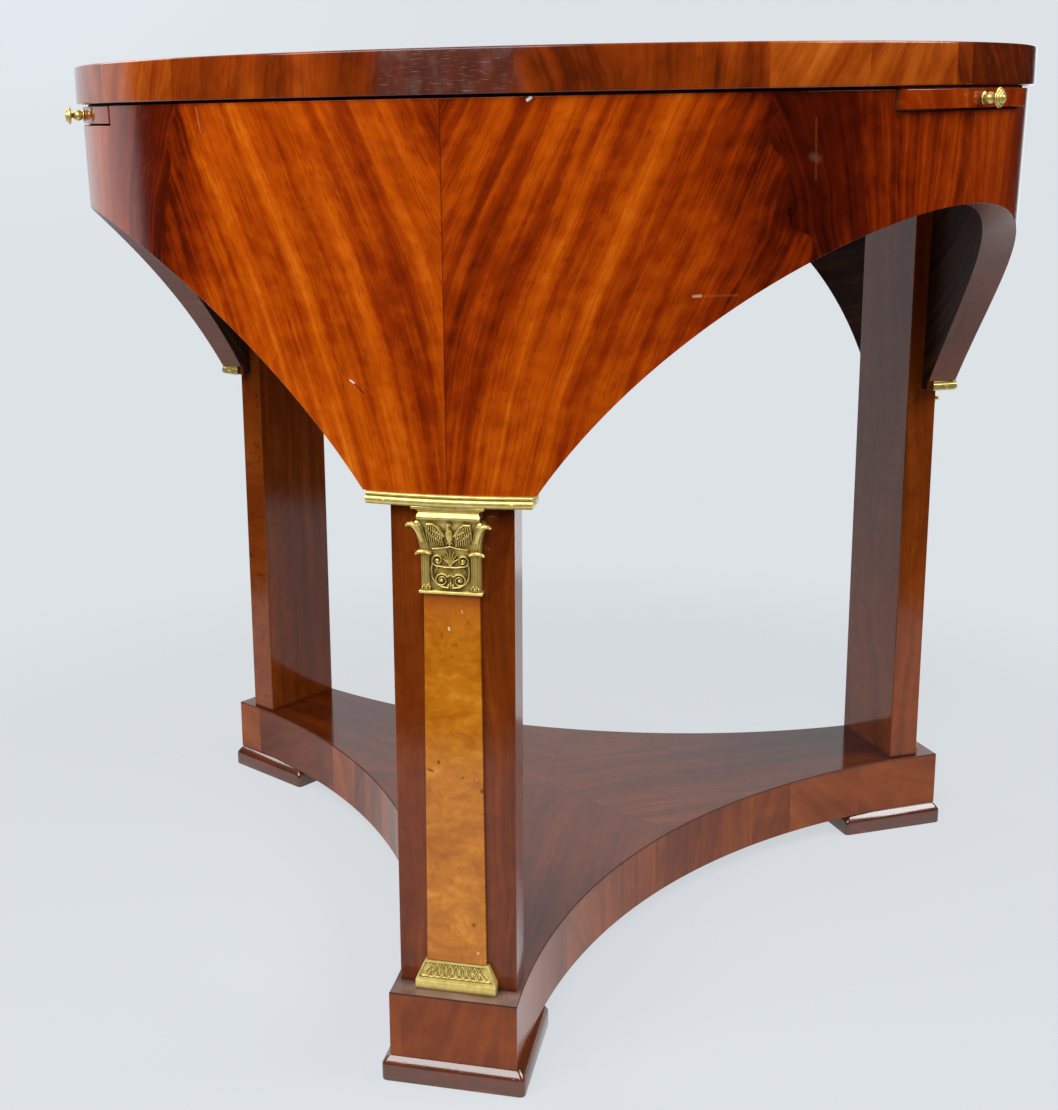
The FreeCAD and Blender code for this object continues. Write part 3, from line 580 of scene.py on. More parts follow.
def wedge_veneer(name):
    net = Finish(name)
    place = net.here()
    radius, angle, z = net.polar(place)
    along, across = net.split(radius, net.math("PINGPONG", angle, WEDGE))
    bent = across + across * across * WEDGE_FLAME + clouded(net, place, 7.0, 0.05)
    wedge, wedge_pores = figured(net, bent, along, 4.0, 0.014)
    rim, rim_pores = figured(net, angle * TOP_RADIUS, radius, 9.0, 0.012)
    past_border = radius - (TOP_RADIUS - BORDER)
    on_rim = past_border > 0.0
    tone = net.mix(on_rim, wedge, rim) * 0.5 + clouded(net, place, 8.0, 0.2) + 0.52
    line = net.smooth(abs(past_border), 0.0003, 0.0006, 0.8, 0.0)
    shade = net.tint(line, net.ramp(tone, VIVID), colour(30, 10, 5))
    return french_polish(net, shade, net.mix(on_rim, wedge_pores, rim_pores), place, dull=0.34, shine=0.25)


top_finish = wedge_veneer("wedge-matched top")
print("finish", top_finish.name)

# %% [markdown]
# Legs and feet are plain mahogany. Noise that is drawn out along one axis runs through the solid, so the
# pattern meets itself at the corners as it does on a board. Each leg comes from another board, so the tone
# drifts from front to back. Old wax has gathered at the foot of each leg. The feet have been kicked and
# mopped, so their lowest edge shows redder bare wood.

# %% Finishes: legs and feet
BOARD_DRIFT = 0.2
WAX = colour(44, 22, 14)


def plain_tone(net, place, across, along, tone):
    """The tone and the pores of plain mahogany."""
    figure, pores = figured(net, across + clouded(net, place, 4.0, 0.06), along, 2.0, 0.022)
    return figure * 0.50 + tone + clouded(net, place, 9.0, 0.30), pores


def upright_mahogany(name):
    net = Finish(name)
    place = net.here()
    x, y, z = net.parts(place)
    tone, pores = plain_tone(net, place, x * 0.8 + y, z, 0.50)
    waxed = net.smooth(z, BASE_TOP + 0.001, BASE_TOP + 0.004, 0.6, 0.0)
    shade = net.tint(waxed, net.ramp(tone + y * BOARD_DRIFT, QUIET), WAX)
    return french_polish(net, shade, pores, place, shine=0.43)


def lying_mahogany(name):
    net = Finish(name)
    place = net.here(LEGS["front"])
    x, y, z = net.parts(place)
    tone, pores = plain_tone(net, place, x * 0.3 + z, y, 0.44)
    grime = net.smooth(net.noise(place, scale=34.0, detail=5.0, roughness=0.65), 0.35, 0.65, 0.25, 0.75)
    shade = net.tint(grime, net.ramp(tone, QUIET), colour(78, 46, 34))
    chips = net.noise(place, scale=60.0, detail=4.0) * 0.020 - 0.008
    shade = net.tint(net.smooth(chips - z, 0.0, 0.002, 0.0, 0.5), shade, colour(142, 62, 42))
    return french_polish(net, shade, pores, place, shine=1.0)


leg_finish = upright_mahogany("plain mahogany")
foot_finish = lying_mahogany("plain mahogany, lying")
print("finishes", leg_finish.name, "and", foot_finish.name)

# %% [markdown]
# The base is veneered too. Its face has three leaves that meet at the middle, with the grain along each arm.
# Each arm is painted darker towards its end, as painted shade from the leg and the top above. Pale grey lies
# on the ledge in front of each leg: partly dust, partly a painted sheen of the pale backdrop. The hollow
# sides carry short upright leaves like the edge of the top, and dark wax sits in a line under their upper
# edge.

# %% Finishes: base
BASE_LEAF = math.radians(9)
BASE_SIDE_RADIUS = 0.25
DUST_AND_SHEEN_FROM, DUST_AND_SHEEN_FULL = LEG_FACE - 0.004, LEG_FACE + 0.008


def base_side_veneer(name):
    """Short upright leaves side by side along the hollow sides, with a random tone and slant for each."""
    net = Finish(name)
    place = net.here()
    x, y, z = net.parts(place)
    angle = net.angle(x, y)
    count = angle / BASE_LEAF
    number = net.math("FLOOR", count + net.noise(net.vector(count), scale=0.7, detail=0.0))
    odd = net.random(number) - 0.5
    leaning = z * odd * 0.9 + angle * BASE_SIDE_RADIUS + clouded(net, place, 14.0, 0.008)
    figure, pores = figured(net, leaning, z, number * 3.7, 0.020)
    tone = figure * 0.42 + (odd * 0.30 + 0.58 + clouded(net, place, 16.0, 0.5))
    waxed = net.smooth(z, BASE_TOP - 0.0022, BASE_TOP - 0.0006, 0.0, 0.7)
    shade = net.tint(waxed, net.ramp(tone, QUIET), WAX)
    return french_polish(net, shade, pores * 0.5, place, dull=waxed * 0.6, shine=0.38)


def base_face_veneer(name):
    net = Finish(name)
    place = net.here()
    radius, angle, z = net.polar(place)
    from_front = angle - math.radians(LEGS["front"])
    folded = net.fold(from_front)
    along, across = net.split(radius, folded)
    number = net.math("FLOOR", (from_front + THIRD / 2) / THIRD)
    figure, pores = figured(net, across + clouded(net, place, 6.0, 0.03), along, number, 0.02)
    # The last term darkens each arm towards its end: painted shade from the leg and the top.
    tone = figure * 0.44 + 0.42 + number * 0.03 - net.smooth(along, 0.10, 0.26, 0.0, 0.16)
    shade = net.ramp(tone + clouded(net, place, 8.0, 0.3), QUIET)
    from_seam = (THIRD / 2 - abs(folded)) * radius
    shade = net.tint(net.smooth(from_seam, 0.0003, 0.0007, 0.5, 0.0), shade, colour(46, 16, 5))
    # The pale grey on the ledge is partly dust and partly a painted sheen of the backdrop.
    dust = net.smooth(net.noise(place, scale=40.0, detail=4.0), 0.30, 0.62, 0.45, 1.0)
    dust = dust * net.smooth(along, DUST_AND_SHEEN_FROM, DUST_AND_SHEEN_FULL)
    shade = net.tint(dust * 0.62, shade, colour(150, 128, 118))
    return french_polish(net, shade, pores, place, dull=dust * 0.40)


base_face_finish = base_face_veneer("base face veneer")
base_side_finish = base_side_veneer("base side veneer")
print("finishes", base_face_finish.name, "and", base_side_finish.name)

# %% [markdown]
# Burl is wood from a knotty outgrowth: its fibres curl in every direction round small dark eyes. Noise that
# is bent by other noise gives the curling clouds, and a sparse cell pattern gives the eyes. Below the capital
# the wood is flushed with red, and a dark band just under the capital is painted shade that the capital
# throws.

# %% Finish: burl
HONEY = [(0.00, colour(142, 72, 8)), (0.35, colour(172, 98, 14)), (0.60, colour(190, 115, 22)),
         (1.00, colour(220, 152, 56))]
BURL_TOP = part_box("capital_front")[0].z


def burl_veneer(name):
    net = Finish(name)
    place = net.here(LEGS["front"])
    x, y, z = net.parts(place)
    bend = net.get("TexNoise", {"Vector": place, "Scale": 26.0, "Detail": 2.0}, output="Color")
    bent = net.get("VectorMath", {0: bend, 1: (0.04, 0.04, 0.02), 2: place}, operation="MULTIPLY_ADD")
    wide = net.get("VectorMath", {0: bent, 1: (1.0, 1.0, 1.4)}, operation="MULTIPLY")
    clouds = net.noise(wide, scale=24.0, detail=4.0, roughness=0.55)
    curls = net.noise(wide, scale=110.0, detail=3.0, roughness=0.6)
    speckle = net.noise(place, scale=900.0, detail=1.0) - 0.5
    figure = clouds * 0.55 + curls * 0.45 + speckle * 0.14 - 0.5
    shade = net.ramp(figure * 1.9 + 0.47, HONEY)
    clusters = net.smooth(net.noise(place, scale=15.0, detail=1.0), 0.57, 0.64)
    cells = net.get("TexVoronoi", {"Vector": bent, "Scale": 80.0}, output="Distance")
    eyes = net.smooth(cells, 0.06, 0.20, 1.0, 0.0) * clusters
    shade = net.tint(eyes * 0.75, shade, colour(84, 34, 6))
    flush = net.smooth(z, BURL_TOP - 0.040, BURL_TOP, 0.0, 0.6) * net.smooth(clouds, 0.35, 0.6, 1.0, 0.4)
    shade = net.tint(flush, shade, colour(172, 88, 40))
    # Painted shade: a dark band just under the capital, where the capital shades the pilaster.
    shade = net.tint(net.smooth(z, BURL_TOP - 0.014, BURL_TOP - 0.001, 0.0, 0.5), shade, colour(112, 40, 22))
    specks = net.smooth(net.noise(place, scale=210.0, detail=0.0), 0.86, 0.89)
    shade = net.tint(specks * 0.7, shade, colour(226, 206, 176))
    return french_polish(net, shade, eyes * 0.4, place)


burl_finish = burl_veneer("burl")
print("finish", burl_finish.name)

# %% [markdown]
# The mounts are cast brass, chased and lacquered. Rubbed high places stay bright, and old wax and tarnish
# darken the hollows: an occlusion node finds the hollows, and a cloudy noise keeps the metal from looking
# new. Lacquer and wax scatter some light, so the metal is not a pure mirror. The low bases of the pilasters
# carry the most wax and get a finish of their own.

# %% Finish: brass
HOLLOW_REACH = 0.0045
BRASS = [(0.30, colour(220, 194, 104)), (0.55, colour(236, 212, 126)), (0.75, colour(246, 226, 148))]


def cast_brass(name, metal):
    net = Finish(name)
    place = net.here()
    open_sky = net.get("AmbientOcclusion", {"Distance": HOLLOW_REACH}, output="AO", samples=8)
    hollows = net.smooth(open_sky, 0.35, 0.85, 1.0, 0.0)
    clouds = net.noise(place, scale=180.0, detail=3.0)
    shade = net.tint(hollows * 0.80, net.ramp(clouds, BRASS), colour(84, 62, 12))
    grain = net.noise(place, scale=1400.0)
    bump = net.get("Bump", {"Strength": 0.12, "Distance": 0.0003, "Height": grain})
    net.fill(net.shader, {"Base Color": shade, "Roughness": clouds * 0.14 + 0.24 + hollows * 0.15,
                          "Normal": bump, "Metallic": metal})
    return net.material


brass_finish = cast_brass("cast brass", metal=0.66)
waxed_brass_finish = cast_brass("waxed brass", metal=0.38)
print("finishes", brass_finish.name, "and", waxed_brass_finish.name)

# %% [markdown]
# Inside, the carcase is bare softwood that has gone brown with age, held with dull steel screws. These pieces
# keep the frame's own meshes, because their shapes are plain boards, and only get a finish. The back of the
# apron and the narrow lips that close the gap under the top get a darker finish of the same wood: painted
# shade, where little light reaches inside the table.

# %% Finishes: carcase wood and steel
CARCASE_SHADES = scale_of((78, 44, 24), (112, 68, 38), (146, 98, 60), low=0.2, high=0.8)
PAINTED_SHADE_TONES = scale_of((36, 18, 10), (56, 30, 17), (80, 46, 27), low=0.2, high=0.8)
STEEL_SHADES = [(0.35, colour(120, 116, 112)), (0.60, colour(92, 84, 78)), (0.75, colour(96, 62, 40))]


def bare_wood(name, shades):
    net = Finish(name)
    place = net.here()
    x, y, z = net.parts(place)
    figure, pores = figured(net, x * 0.7 + (y + z), x - y, 1.0, 0.010)
    dust = net.noise(place, scale=20.0, detail=3.0)
    shade = net.ramp(dust * 0.3 + (figure + 0.35), shades)
    bump = net.get("Bump", {"Strength": 0.4, "Distance": 0.0004, "Height": figure})
    net.fill(net.shader, {"Base Color": shade, "Roughness": pores * 0.15 + 0.65, "Normal": bump,
                          "Specular IOR Level": 0.15})
    return net.material


def dull_steel(name):
    net = Finish(name)
    rust = net.noise(net.here(), scale=300.0, detail=3.0)
    net.fill(net.shader, {"Base Color": net.ramp(rust, STEEL_SHADES), "Roughness": rust * 0.4 + 0.3,
                          "Metallic": 1.0})
    return net.material


# A darker bare wood for painted shade on the apron's back and the lips.
painted_shade_finish = bare_wood("inside painted shade", PAINTED_SHADE_TONES)
KEPT = {"carcase_wood": bare_wood("carcase wood", CARCASE_SHADES), "steel": dull_steel("dull steel"),
        "mahogany_leg": leg_finish, "mahogany_top": top_finish, "mahogany_apron": apron_finish,
        "brass": brass_finish, "burl": burl_finish}
for node_name, node in nodes.items():
    node.data.materials.clear()
    node.data.materials.append(KEPT[SLOTS[node_name]])
print("finished", len(nodes), "pieces of the frame")

# %% [markdown]
# Round pieces are turned shapes: a section swung round an axis. A turned shape is a row of rings with a skin
# of faces between them. So are the swept and stacked shapes that follow, and one function joins the rings of
# all.


# %% Helpers: rings with a skin
def full_turn(steps):
    """Angles in even steps round a full turn."""
    return [math.tau * step / steps for step in range(steps)]


def quarter(centre, radius, start, steps=5):
    """Points on a quarter circle, anticlockwise from the start angle in degrees."""
    angles = [math.radians(start + 90 * step / steps) for step in range(steps + 1)]
    return [(centre[0] + radius * math.cos(a), centre[1] + radius * math.sin(a)) for a in angles]


def skin(form, rings):
    """Joins rings of points, in order, with faces. A ring may be one point over and over."""
    sides = []
    for ring, following in zip(rings, rings[1:]):
        for a, b, c, d in zip(ring, ring[1:] + ring[:1], following[1:] + following[:1], following):
            sides.append(form.faces.new(list(dict.fromkeys([a, b, c, d]))))
    return sides


def close_ends(form, rings):
    """Puts a face on the first ring and on the last."""
    return form.faces.new(rings[0][::-1]), form.faces.new(rings[-1])


def turned(section, steps, closed=False):
    """A section of (radius, height) points swung round the Z axis. A closed section makes a ring."""
    form = bmesh.new()
    rings = []
    for radius, height in section:
        if radius == 0:
            rings.append([form.verts.new((0, 0, height))] * steps)
        else:
            rings.append([form.verts.new((radius * math.cos(a), radius * math.sin(a), height))
                          for a in full_turn(steps)])
    skin(form, rings + rings[:1] if closed else rings)
    return form


print("ring helpers ready")

# %% [markdown]
# The edge band and the top board are both turned round the table's axis: the band as a ring with rounded
# corners, the board as a plain disc inside it. Many short steps keep the rim truly round in the light that
# slides along it.

# %% Piece: top
RIM_STEPS = 360
RIM_ROUNDING = 0.0015
BAND_THICKNESS = 0.004
BOARD_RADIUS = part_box("top_board")[1].x
band_inside = TOP_RADIUS - BAND_THICKNESS
band_section = [(band_inside, TOP_UNDERSIDE)]
band_section += quarter((TOP_RADIUS - RIM_ROUNDING, TOP_UNDERSIDE + RIM_ROUNDING), RIM_ROUNDING, -90)
band_section += quarter((TOP_RADIUS - RIM_ROUNDING, TABLE_HEIGHT - RIM_ROUNDING), RIM_ROUNDING, 0)
band_section += [(band_inside, TABLE_HEIGHT)]
band = as_mesh("edge band", turned(band_section, RIM_STEPS, closed=True))
stand("top_edge_veneer", band, edge_finish, "top_edge_band")
board_section = [(0, TOP_UNDERSIDE), (BOARD_RADIUS, TOP_UNDERSIDE), (BOARD_RADIUS, TABLE_HEIGHT),
                 (0, TABLE_HEIGHT)]
board = as_mesh("top board", turned(board_section, RIM_STEPS))
stand("top_veneered_board", board, top_finish, "top_board")
print("top of radius", round(TOP_RADIUS, 3), "and board of radius", round(BOARD_RADIUS, 4))

# %% [markdown]
# Several pieces are sheets with some thickness: the apron, the pilasters, the brass mounts and the slide
# fronts. A grid of cells covers the face of such a sheet, in columns and rows. Cells may be left out to cut a
# shape from it, and wherever a cell has no neighbour a wall joins the outside to the inside.


# %% Helpers: a sheet with thickness
def thick_sheet(outside, inside, cells, inside_finish=0, wall_finish=0):
    """A closed sheet. Outside and inside give a point for a grid corner, and cells are the squares it covers.
    The two numbers pick a material for the inside and for the walls."""
    form = bmesh.new()
    made = {}

    def corner(surface, key):
        if (surface, key) not in made:
            made[surface, key] = form.verts.new(surface(*key))
        return made[surface, key]

    for column, row in cells:
        ring = [(column, row), (column + 1, row), (column + 1, row + 1), (column, row + 1)]
        form.faces.new([corner(outside, key) for key in ring])
        form.faces.new([corner(inside, key) for key in reversed(ring)]).material_index = inside_finish
        beside = [(column, row - 1), (column + 1, row), (column, row + 1), (column - 1, row)]
        for edge, neighbour in enumerate(beside):
            if neighbour not in cells:
                a, b = ring[edge], ring[(edge + 1) % 4]
                wall = [corner(outside, b), corner(outside, a), corner(inside, a), corner(inside, b)]
                form.faces.new(wall).material_index = wall_finish
    return form


def full_grid(columns, rows):
    """The cells between so many columns and rows of points."""
    return {(column, row) for column in range(columns - 1) for row in range(rows - 1)}


def spread(start, end, steps):
    """Even steps from start up to, but not onto, end."""
    return [start + (end - start) * step / steps for step in range(steps)]


def finish_above(mesh, height, finish):
    """Gives the faces above a height the finish of that number."""
    for face in mesh.polygons:
        if face.center.z > height:
            face.material_index = finish


print("sheet helpers ready")

# %% [markdown]
# Each third of the apron is a curved sheet with an arch cut from each side and a notch for a slide at each
# end. The arch is part of a circle on the unrolled face: its radius follows from its rise and its half run.
# Columns go round the table from the pylon's middle to both ends, and they are closer along the arch than on
# the pylon.

# %% Apron: its arch and its columns
APRON_TAPER, APRON_SWELL = 0.004, 0.002
APRON_THICKNESS = 0.0265
CROWN = 0.6455
TOE_INSET = 0.003
PLAY_BELOW, PLAY_BESIDE = 0.0015, 0.0025
SEAM_GAP = math.radians(0.012)
TOE_COLUMNS, ARCH_COLUMNS, NOTCH_COLUMNS = 8, 70, 26

TOE_HALF_WIDTH = PYLON_HALF_WIDTH - TOE_INSET
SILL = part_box("slide_front_back")[0].z - PLAY_BELOW
OPENING_HALF_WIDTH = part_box("slide_front_back")[1].x + PLAY_BESIDE
PYLON_RADIUS = APRON_RADIUS - APRON_TAPER

pylon_angle = math.asin(PYLON_HALF_WIDTH / PYLON_RADIUS)
toe_angle = math.asin(TOE_HALF_WIDTH / PYLON_RADIUS)
notch_angle = THIRD / 2 - math.asin(OPENING_HALF_WIDTH / APRON_RADIUS)
notch_inside = THIRD / 2 - math.asin(OPENING_HALF_WIDTH / (APRON_RADIUS - APRON_THICKNESS))
arch_half_run = PYLON_RADIUS * (THIRD / 2 - pylon_angle)
arch_rise = CROWN - STRIP_LINE
arch_radius = (arch_half_run ** 2 + arch_rise ** 2) / (2 * arch_rise)
end_angle = THIRD / 2 - SEAM_GAP
half = spread(0, toe_angle, TOE_COLUMNS) + spread(toe_angle, pylon_angle, 1)
half += spread(pylon_angle, notch_angle, ARCH_COLUMNS)
half += spread(notch_angle, end_angle, NOTCH_COLUMNS) + [end_angle]
columns = [-angle for angle in reversed(half[1:])] + half
print("apron of", len(columns), "columns, arch radius", round(arch_radius, 4))

# %% [markdown]
# The first row is the pylon's foot. The others go up from the lower edge, which the arch sets for each
# column, to the sill of the notch and on to the top. Cells that the notch removes are left out, and so are
# those beside the foot. The top rows form a set-back lip, which keeps the gap under the top narrow and dark.
# The lip and the back of the apron get the dark finish of painted shade.

# %% Piece: apron
LIP_SETBACK, LIP_GAP, LIP_DROP = 0.003, 0.0001, 0.001
LIP_RADIUS = APRON_RADIUS - LIP_SETBACK
LIP_TOP = TOP_UNDERSIDE - LIP_GAP
FACE_ROWS = 26
SILL_ROW = FACE_ROWS + 1
TOP_ROW = SILL_ROW + 2
VENEER_ARRIS = 0.0005


def apron_face(height):
    """The radius of the apron's face at a height. At the top the veneer stands proud of the frame."""
    share = (height - STRIP_LINE) / (APRON_TOP - STRIP_LINE)
    return PYLON_RADIUS + (APRON_TAPER + APRON_SWELL) * share


def arch_line(angle):
    """The height of the apron's lower edge at an angle from the pylon's middle."""
    run = PYLON_RADIUS * (THIRD / 2 - abs(angle))
    if abs(angle) <= pylon_angle:
        return STRIP_LINE
    return CROWN - arch_radius + math.sqrt(arch_radius ** 2 - run ** 2)


def row_height(angle, row):
    if row == 0:
        return PYLON_FOOT
    if row <= SILL_ROW:
        return arch_line(angle) + (SILL - arch_line(angle)) * (row - 1) / FACE_ROWS
    if row <= TOP_ROW:
        return SILL + (APRON_TOP - SILL) * (row - SILL_ROW) / (TOP_ROW - SILL_ROW)
    return APRON_TOP + (LIP_TOP - APRON_TOP) * (row - TOP_ROW - 1)


def apron_outside(column, row):
    angle, height = columns[column], row_height(columns[column], row)
    radius = apron_face(max(height, STRIP_LINE)) if row <= TOP_ROW else LIP_RADIUS
    return radius * math.cos(angle), radius * math.sin(angle), height


def apron_inside(column, row):
    angle, height = columns[column], row_height(columns[column], row)
    bend = [0, pylon_angle, notch_angle, THIRD / 2]
    angle = math.copysign(np.interp(abs(angle), bend, [0, pylon_angle, notch_inside, THIRD / 2]), angle)
    radius = apron_face(max(height, STRIP_LINE)) - APRON_THICKNESS
    drop = LIP_DROP if row == TOP_ROW else 0.0
    return radius * math.cos(angle), radius * math.sin(angle), height - drop


cells = set()
for column in range(len(columns) - 1):
    middle = abs(columns[column] + columns[column + 1]) / 2
    first = 0 if middle < toe_angle else 1
    last = TOP_ROW + 2 if middle < notch_angle else SILL_ROW
    cells |= {(column, row) for row in range(first, last)}
apron = as_mesh("apron", thick_sheet(apron_outside, apron_inside, cells, inside_finish=1, wall_finish=2))
for finish in (apron_finish, painted_shade_finish, soffit_finish):
    apron.materials.append(finish)
# Painted shade on the lip above the apron's top, as on its inside.
finish_above(apron, APRON_TOP, 1)
aprons = stand_at_legs("apron_veneered", apron, apron_finish, "apron")
aprons["front"].data.materials[0] = front_apron_finish
for piece in aprons.values():
    soften(piece, VENEER_ARRIS)
print("apron of", len(apron.polygons), "faces")

# %% [markdown]
# A brass bead runs round the foot of each pylon: a small bead over a large one. Its section is swept along a
# path seen from above, back along one side, round the curved face and back along the other. At the two
# corners the section is mitred: it is stretched along the line that halves the corner.

# %% Piece: brass strip
STRIP_HEIGHT = STRIP_LINE - PYLON_FOOT
STRIP_BACK = 0.0012
STRIP_FILLET = 0.0006
LARGE_BEAD = (0.0054, 0.0030)
SMALL_BEAD = (0.0022, 0.0022)
STRIP_STANDOFF = 0.0002
STRIP_SEAT = PYLON_RADIUS + STRIP_STANDOFF
END_DEPTH = 0.25
ROUND_STEPS, FACE_STEPS = 10, 40


def half_round(foot, height, depth):
    """A bead's bulging side as (out, up) points."""
    turns = [math.pi * step / ROUND_STEPS for step in range(ROUND_STEPS + 1)]
    rise = height / 2
    bulge = depth - STRIP_BACK
    return [(STRIP_BACK + bulge * math.sin(t), foot + rise - rise * math.cos(t)) for t in turns]


small_foot = STRIP_HEIGHT - STRIP_FILLET / 2 - SMALL_BEAD[0]
section = [(0, 0), (STRIP_BACK, 0)] + half_round(STRIP_FILLET, *LARGE_BEAD)
section += half_round(small_foot, *SMALL_BEAD) + [(STRIP_BACK, STRIP_HEIGHT), (0, STRIP_HEIGHT)]

corner_angle = math.asin(TOE_HALF_WIDTH / STRIP_SEAT)
arc = [corner_angle * (2 * step / FACE_STEPS - 1) for step in range(FACE_STEPS + 1)]
path = [(STRIP_SEAT * math.cos(a), STRIP_SEAT * math.sin(a)) for a in arc]
facing = [(math.cos(a), math.sin(a)) for a in arc]
facing[0], facing[-1] = (facing[0][0], -END_DEPTH), (facing[-1][0], END_DEPTH)
back_end = PYLON_RADIUS - APRON_THICKNESS
path = [(back_end, -TOE_HALF_WIDTH)] + path + [(back_end, TOE_HALF_WIDTH)]
facing = [(0, -END_DEPTH)] + facing + [(0, END_DEPTH)]

form = bmesh.new()
stations = [[form.verts.new((x + out_x * out, y + out_y * out, PYLON_FOOT + up)) for out, up in section]
            for (x, y), (out_x, out_y) in zip(path, facing)]
skin(form, stations)
close_ends(form, stations)
strip = as_mesh("brass strip", form, crease=50)
stand_at_legs("brass_strip", strip, brass_finish, "apron_strip")
print("strip of", len(strip.polygons), "faces")

# %% [markdown]
# Four small pins hold each strip: two in its front and one in each end. Only their domed heads show, so each
# pin is a little turned dome on a shank, laid over and pushed into the brass.

# %% Piece: strip pins
PIN_ACROSS, PIN_END = 0.046, 0.3842
PIN_STEPS = 16
PIN_SECTION = [(0, -0.006), (0.0008, -0.006), (0.0008, -0.0004), (0.0014, -0.0004), (0.0013, 0.0002),
               (0.0010, 0.0006), (0.0005, 0.0008), (0, 0.0009)]
LAID_OVER = Matrix.Rotation(math.pi / 2, 4, "Y")
pin_height = PYLON_FOOT + STRIP_FILLET + LARGE_BEAD[0] / 2
front_seat = math.sqrt((STRIP_SEAT + LARGE_BEAD[1]) ** 2 - PIN_ACROSS ** 2)
end_seat = TOE_HALF_WIDTH + END_DEPTH * LARGE_BEAD[1]
lean = math.asin(PIN_ACROSS / STRIP_SEAT)
pin_places = [(front_seat, PIN_ACROSS, lean), (front_seat, -PIN_ACROSS, -lean),
              (PIN_END, end_seat, math.pi / 2), (PIN_END, -end_seat, -math.pi / 2)]
form = bmesh.new()
for azimuth in LEGS.values():
    for x, y, turn in pin_places:
        pin = as_mesh("pin", turned(PIN_SECTION, PIN_STEPS))
        place = Matrix.Translation((x, y, pin_height)) @ Matrix.Rotation(turn, 4, "Z") @ LAID_OVER
        pin.transform(Matrix.Rotation(math.radians(azimuth), 4, "Z") @ place)
        form.from_mesh(pin)
pins = as_mesh("strip pins", form)
stand("strip_pin_heads", pins, brass_finish, "strip_pins")
print("pins of", len(pins.polygons), "faces")

# %% [markdown]
# The pilaster is a thin tapering strip of burl glued to the leg. It is a plain wedge of wood, so it needs
# only its taper and softened edges.

# %% Piece: pilaster
PILASTER_TOP_HALF = 0.0205
PILASTER_ROWS = 12
PILASTER_ARRIS = 0.0006
GLUE = 0.0001
pilaster_low, pilaster_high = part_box("pilaster_front")
pilaster_foot_half = pilaster_high.x
pilaster_face = -pilaster_low.y
heights = spread(pilaster_low.z, pilaster_high.z, PILASTER_ROWS) + [pilaster_high.z]
sides = [-1, -0.5, 0, 0.5, 1]


def pilaster_outside(column, row):
    half_width = pilaster_foot_half + (PILASTER_TOP_HALF - pilaster_foot_half) * row / PILASTER_ROWS
    return pilaster_face, sides[column] * half_width, heights[row]


def pilaster_inside(column, row):
    return LEG_FACE + GLUE, *pilaster_outside(column, row)[1:]


cells = full_grid(len(sides), len(heights))
pilaster = as_mesh("pilaster", thick_sheet(pilaster_outside, pilaster_inside, cells))
for piece in stand_at_legs("burl_pilaster", pilaster, burl_finish, "pilaster").values():
    soften(piece, PILASTER_ARRIS, segments=3)
print("pilaster from", round(pilaster_low.z, 4), "to", round(pilaster_high.z, 4))

# %% [markdown]
# The capital is a cast plaque in low relief. A founder carves it as rods, scrolls and leaves laid on a
# tapering ground, and so does this cell: each motif is a half-round rod along a line, or a boss, that raises
# the ground where it is highest. A fine sheet then takes that height as its depth.

# %% Relief tools
MM = 0.001


class Ground:
    """A patch of ground, as places across and up in millimetres, with the height of what is laid on it."""

    def __init__(self, across, up):
        self.across, self.up = across, up
        self.height = np.zeros_like(across)

    def rod(self, points, width, height, end=1.0):
        """A half-round rod along points. End is its width and height at its last point, as a share."""
        points = np.array(points, float)
        for number, (a, b) in enumerate(zip(points, points[1:])):
            run = b - a
            share = ((self.across - a[0]) * run[0] + (self.up - a[1]) * run[1]) / run.dot(run)
            share = np.clip(share, 0, 1)
            away = np.hypot(self.across - a[0] - share * run[0], self.up - a[1] - share * run[1])
            size = 1 + (end - 1) * (number + share) / (len(points) - 1)
            inside = np.clip(1 - (2 * away / (width * size)) ** 2, 0, 1)
            self.height = np.maximum(self.height, height * size * np.sqrt(inside))

    def boss(self, middle, width, tall, height):
        """A rounded boss."""
        away = ((self.across - middle[0]) * 2 / width) ** 2 + ((self.up - middle[1]) * 2 / tall) ** 2
        self.height = np.maximum(self.height, height * np.sqrt(np.clip(1 - away, 0, 1)))

    def pair(self, points, *size, **more):
        """A rod and its mirror image."""
        self.rod(points, *size, **more)
        self.rod([(-x, y) for x, y in points], *size, **more)

    def bosses(self, middle, *size):
        self.boss(middle, *size)
        self.boss((-middle[0], middle[1]), *size)


def curl(middle, radius, start, turns, shrink=0.35, steps=22):
    """A spiral that winds in towards its middle. Start is an angle in degrees, turns may be negative."""
    points = []
    for step in range(steps + 1):
        share = step / steps
        angle = math.radians(start) + math.tau * turns * share
        reach = radius * (1 + (shrink - 1) * share)
        points.append((middle[0] + reach * math.cos(angle), middle[1] + reach * math.sin(angle)))
    return points


print("relief tools ready")

# %% [markdown]
# The capital from its foot up: a flat astragal, a bell between two fluted leaf stalks, and a moulded abacus.
# On the bell lie two scrolls, a palmette between two more, a garland line and a bird with hanging wings. The
# lists here are in millimetres, and each row of the profile is a height, a half width and a depth.

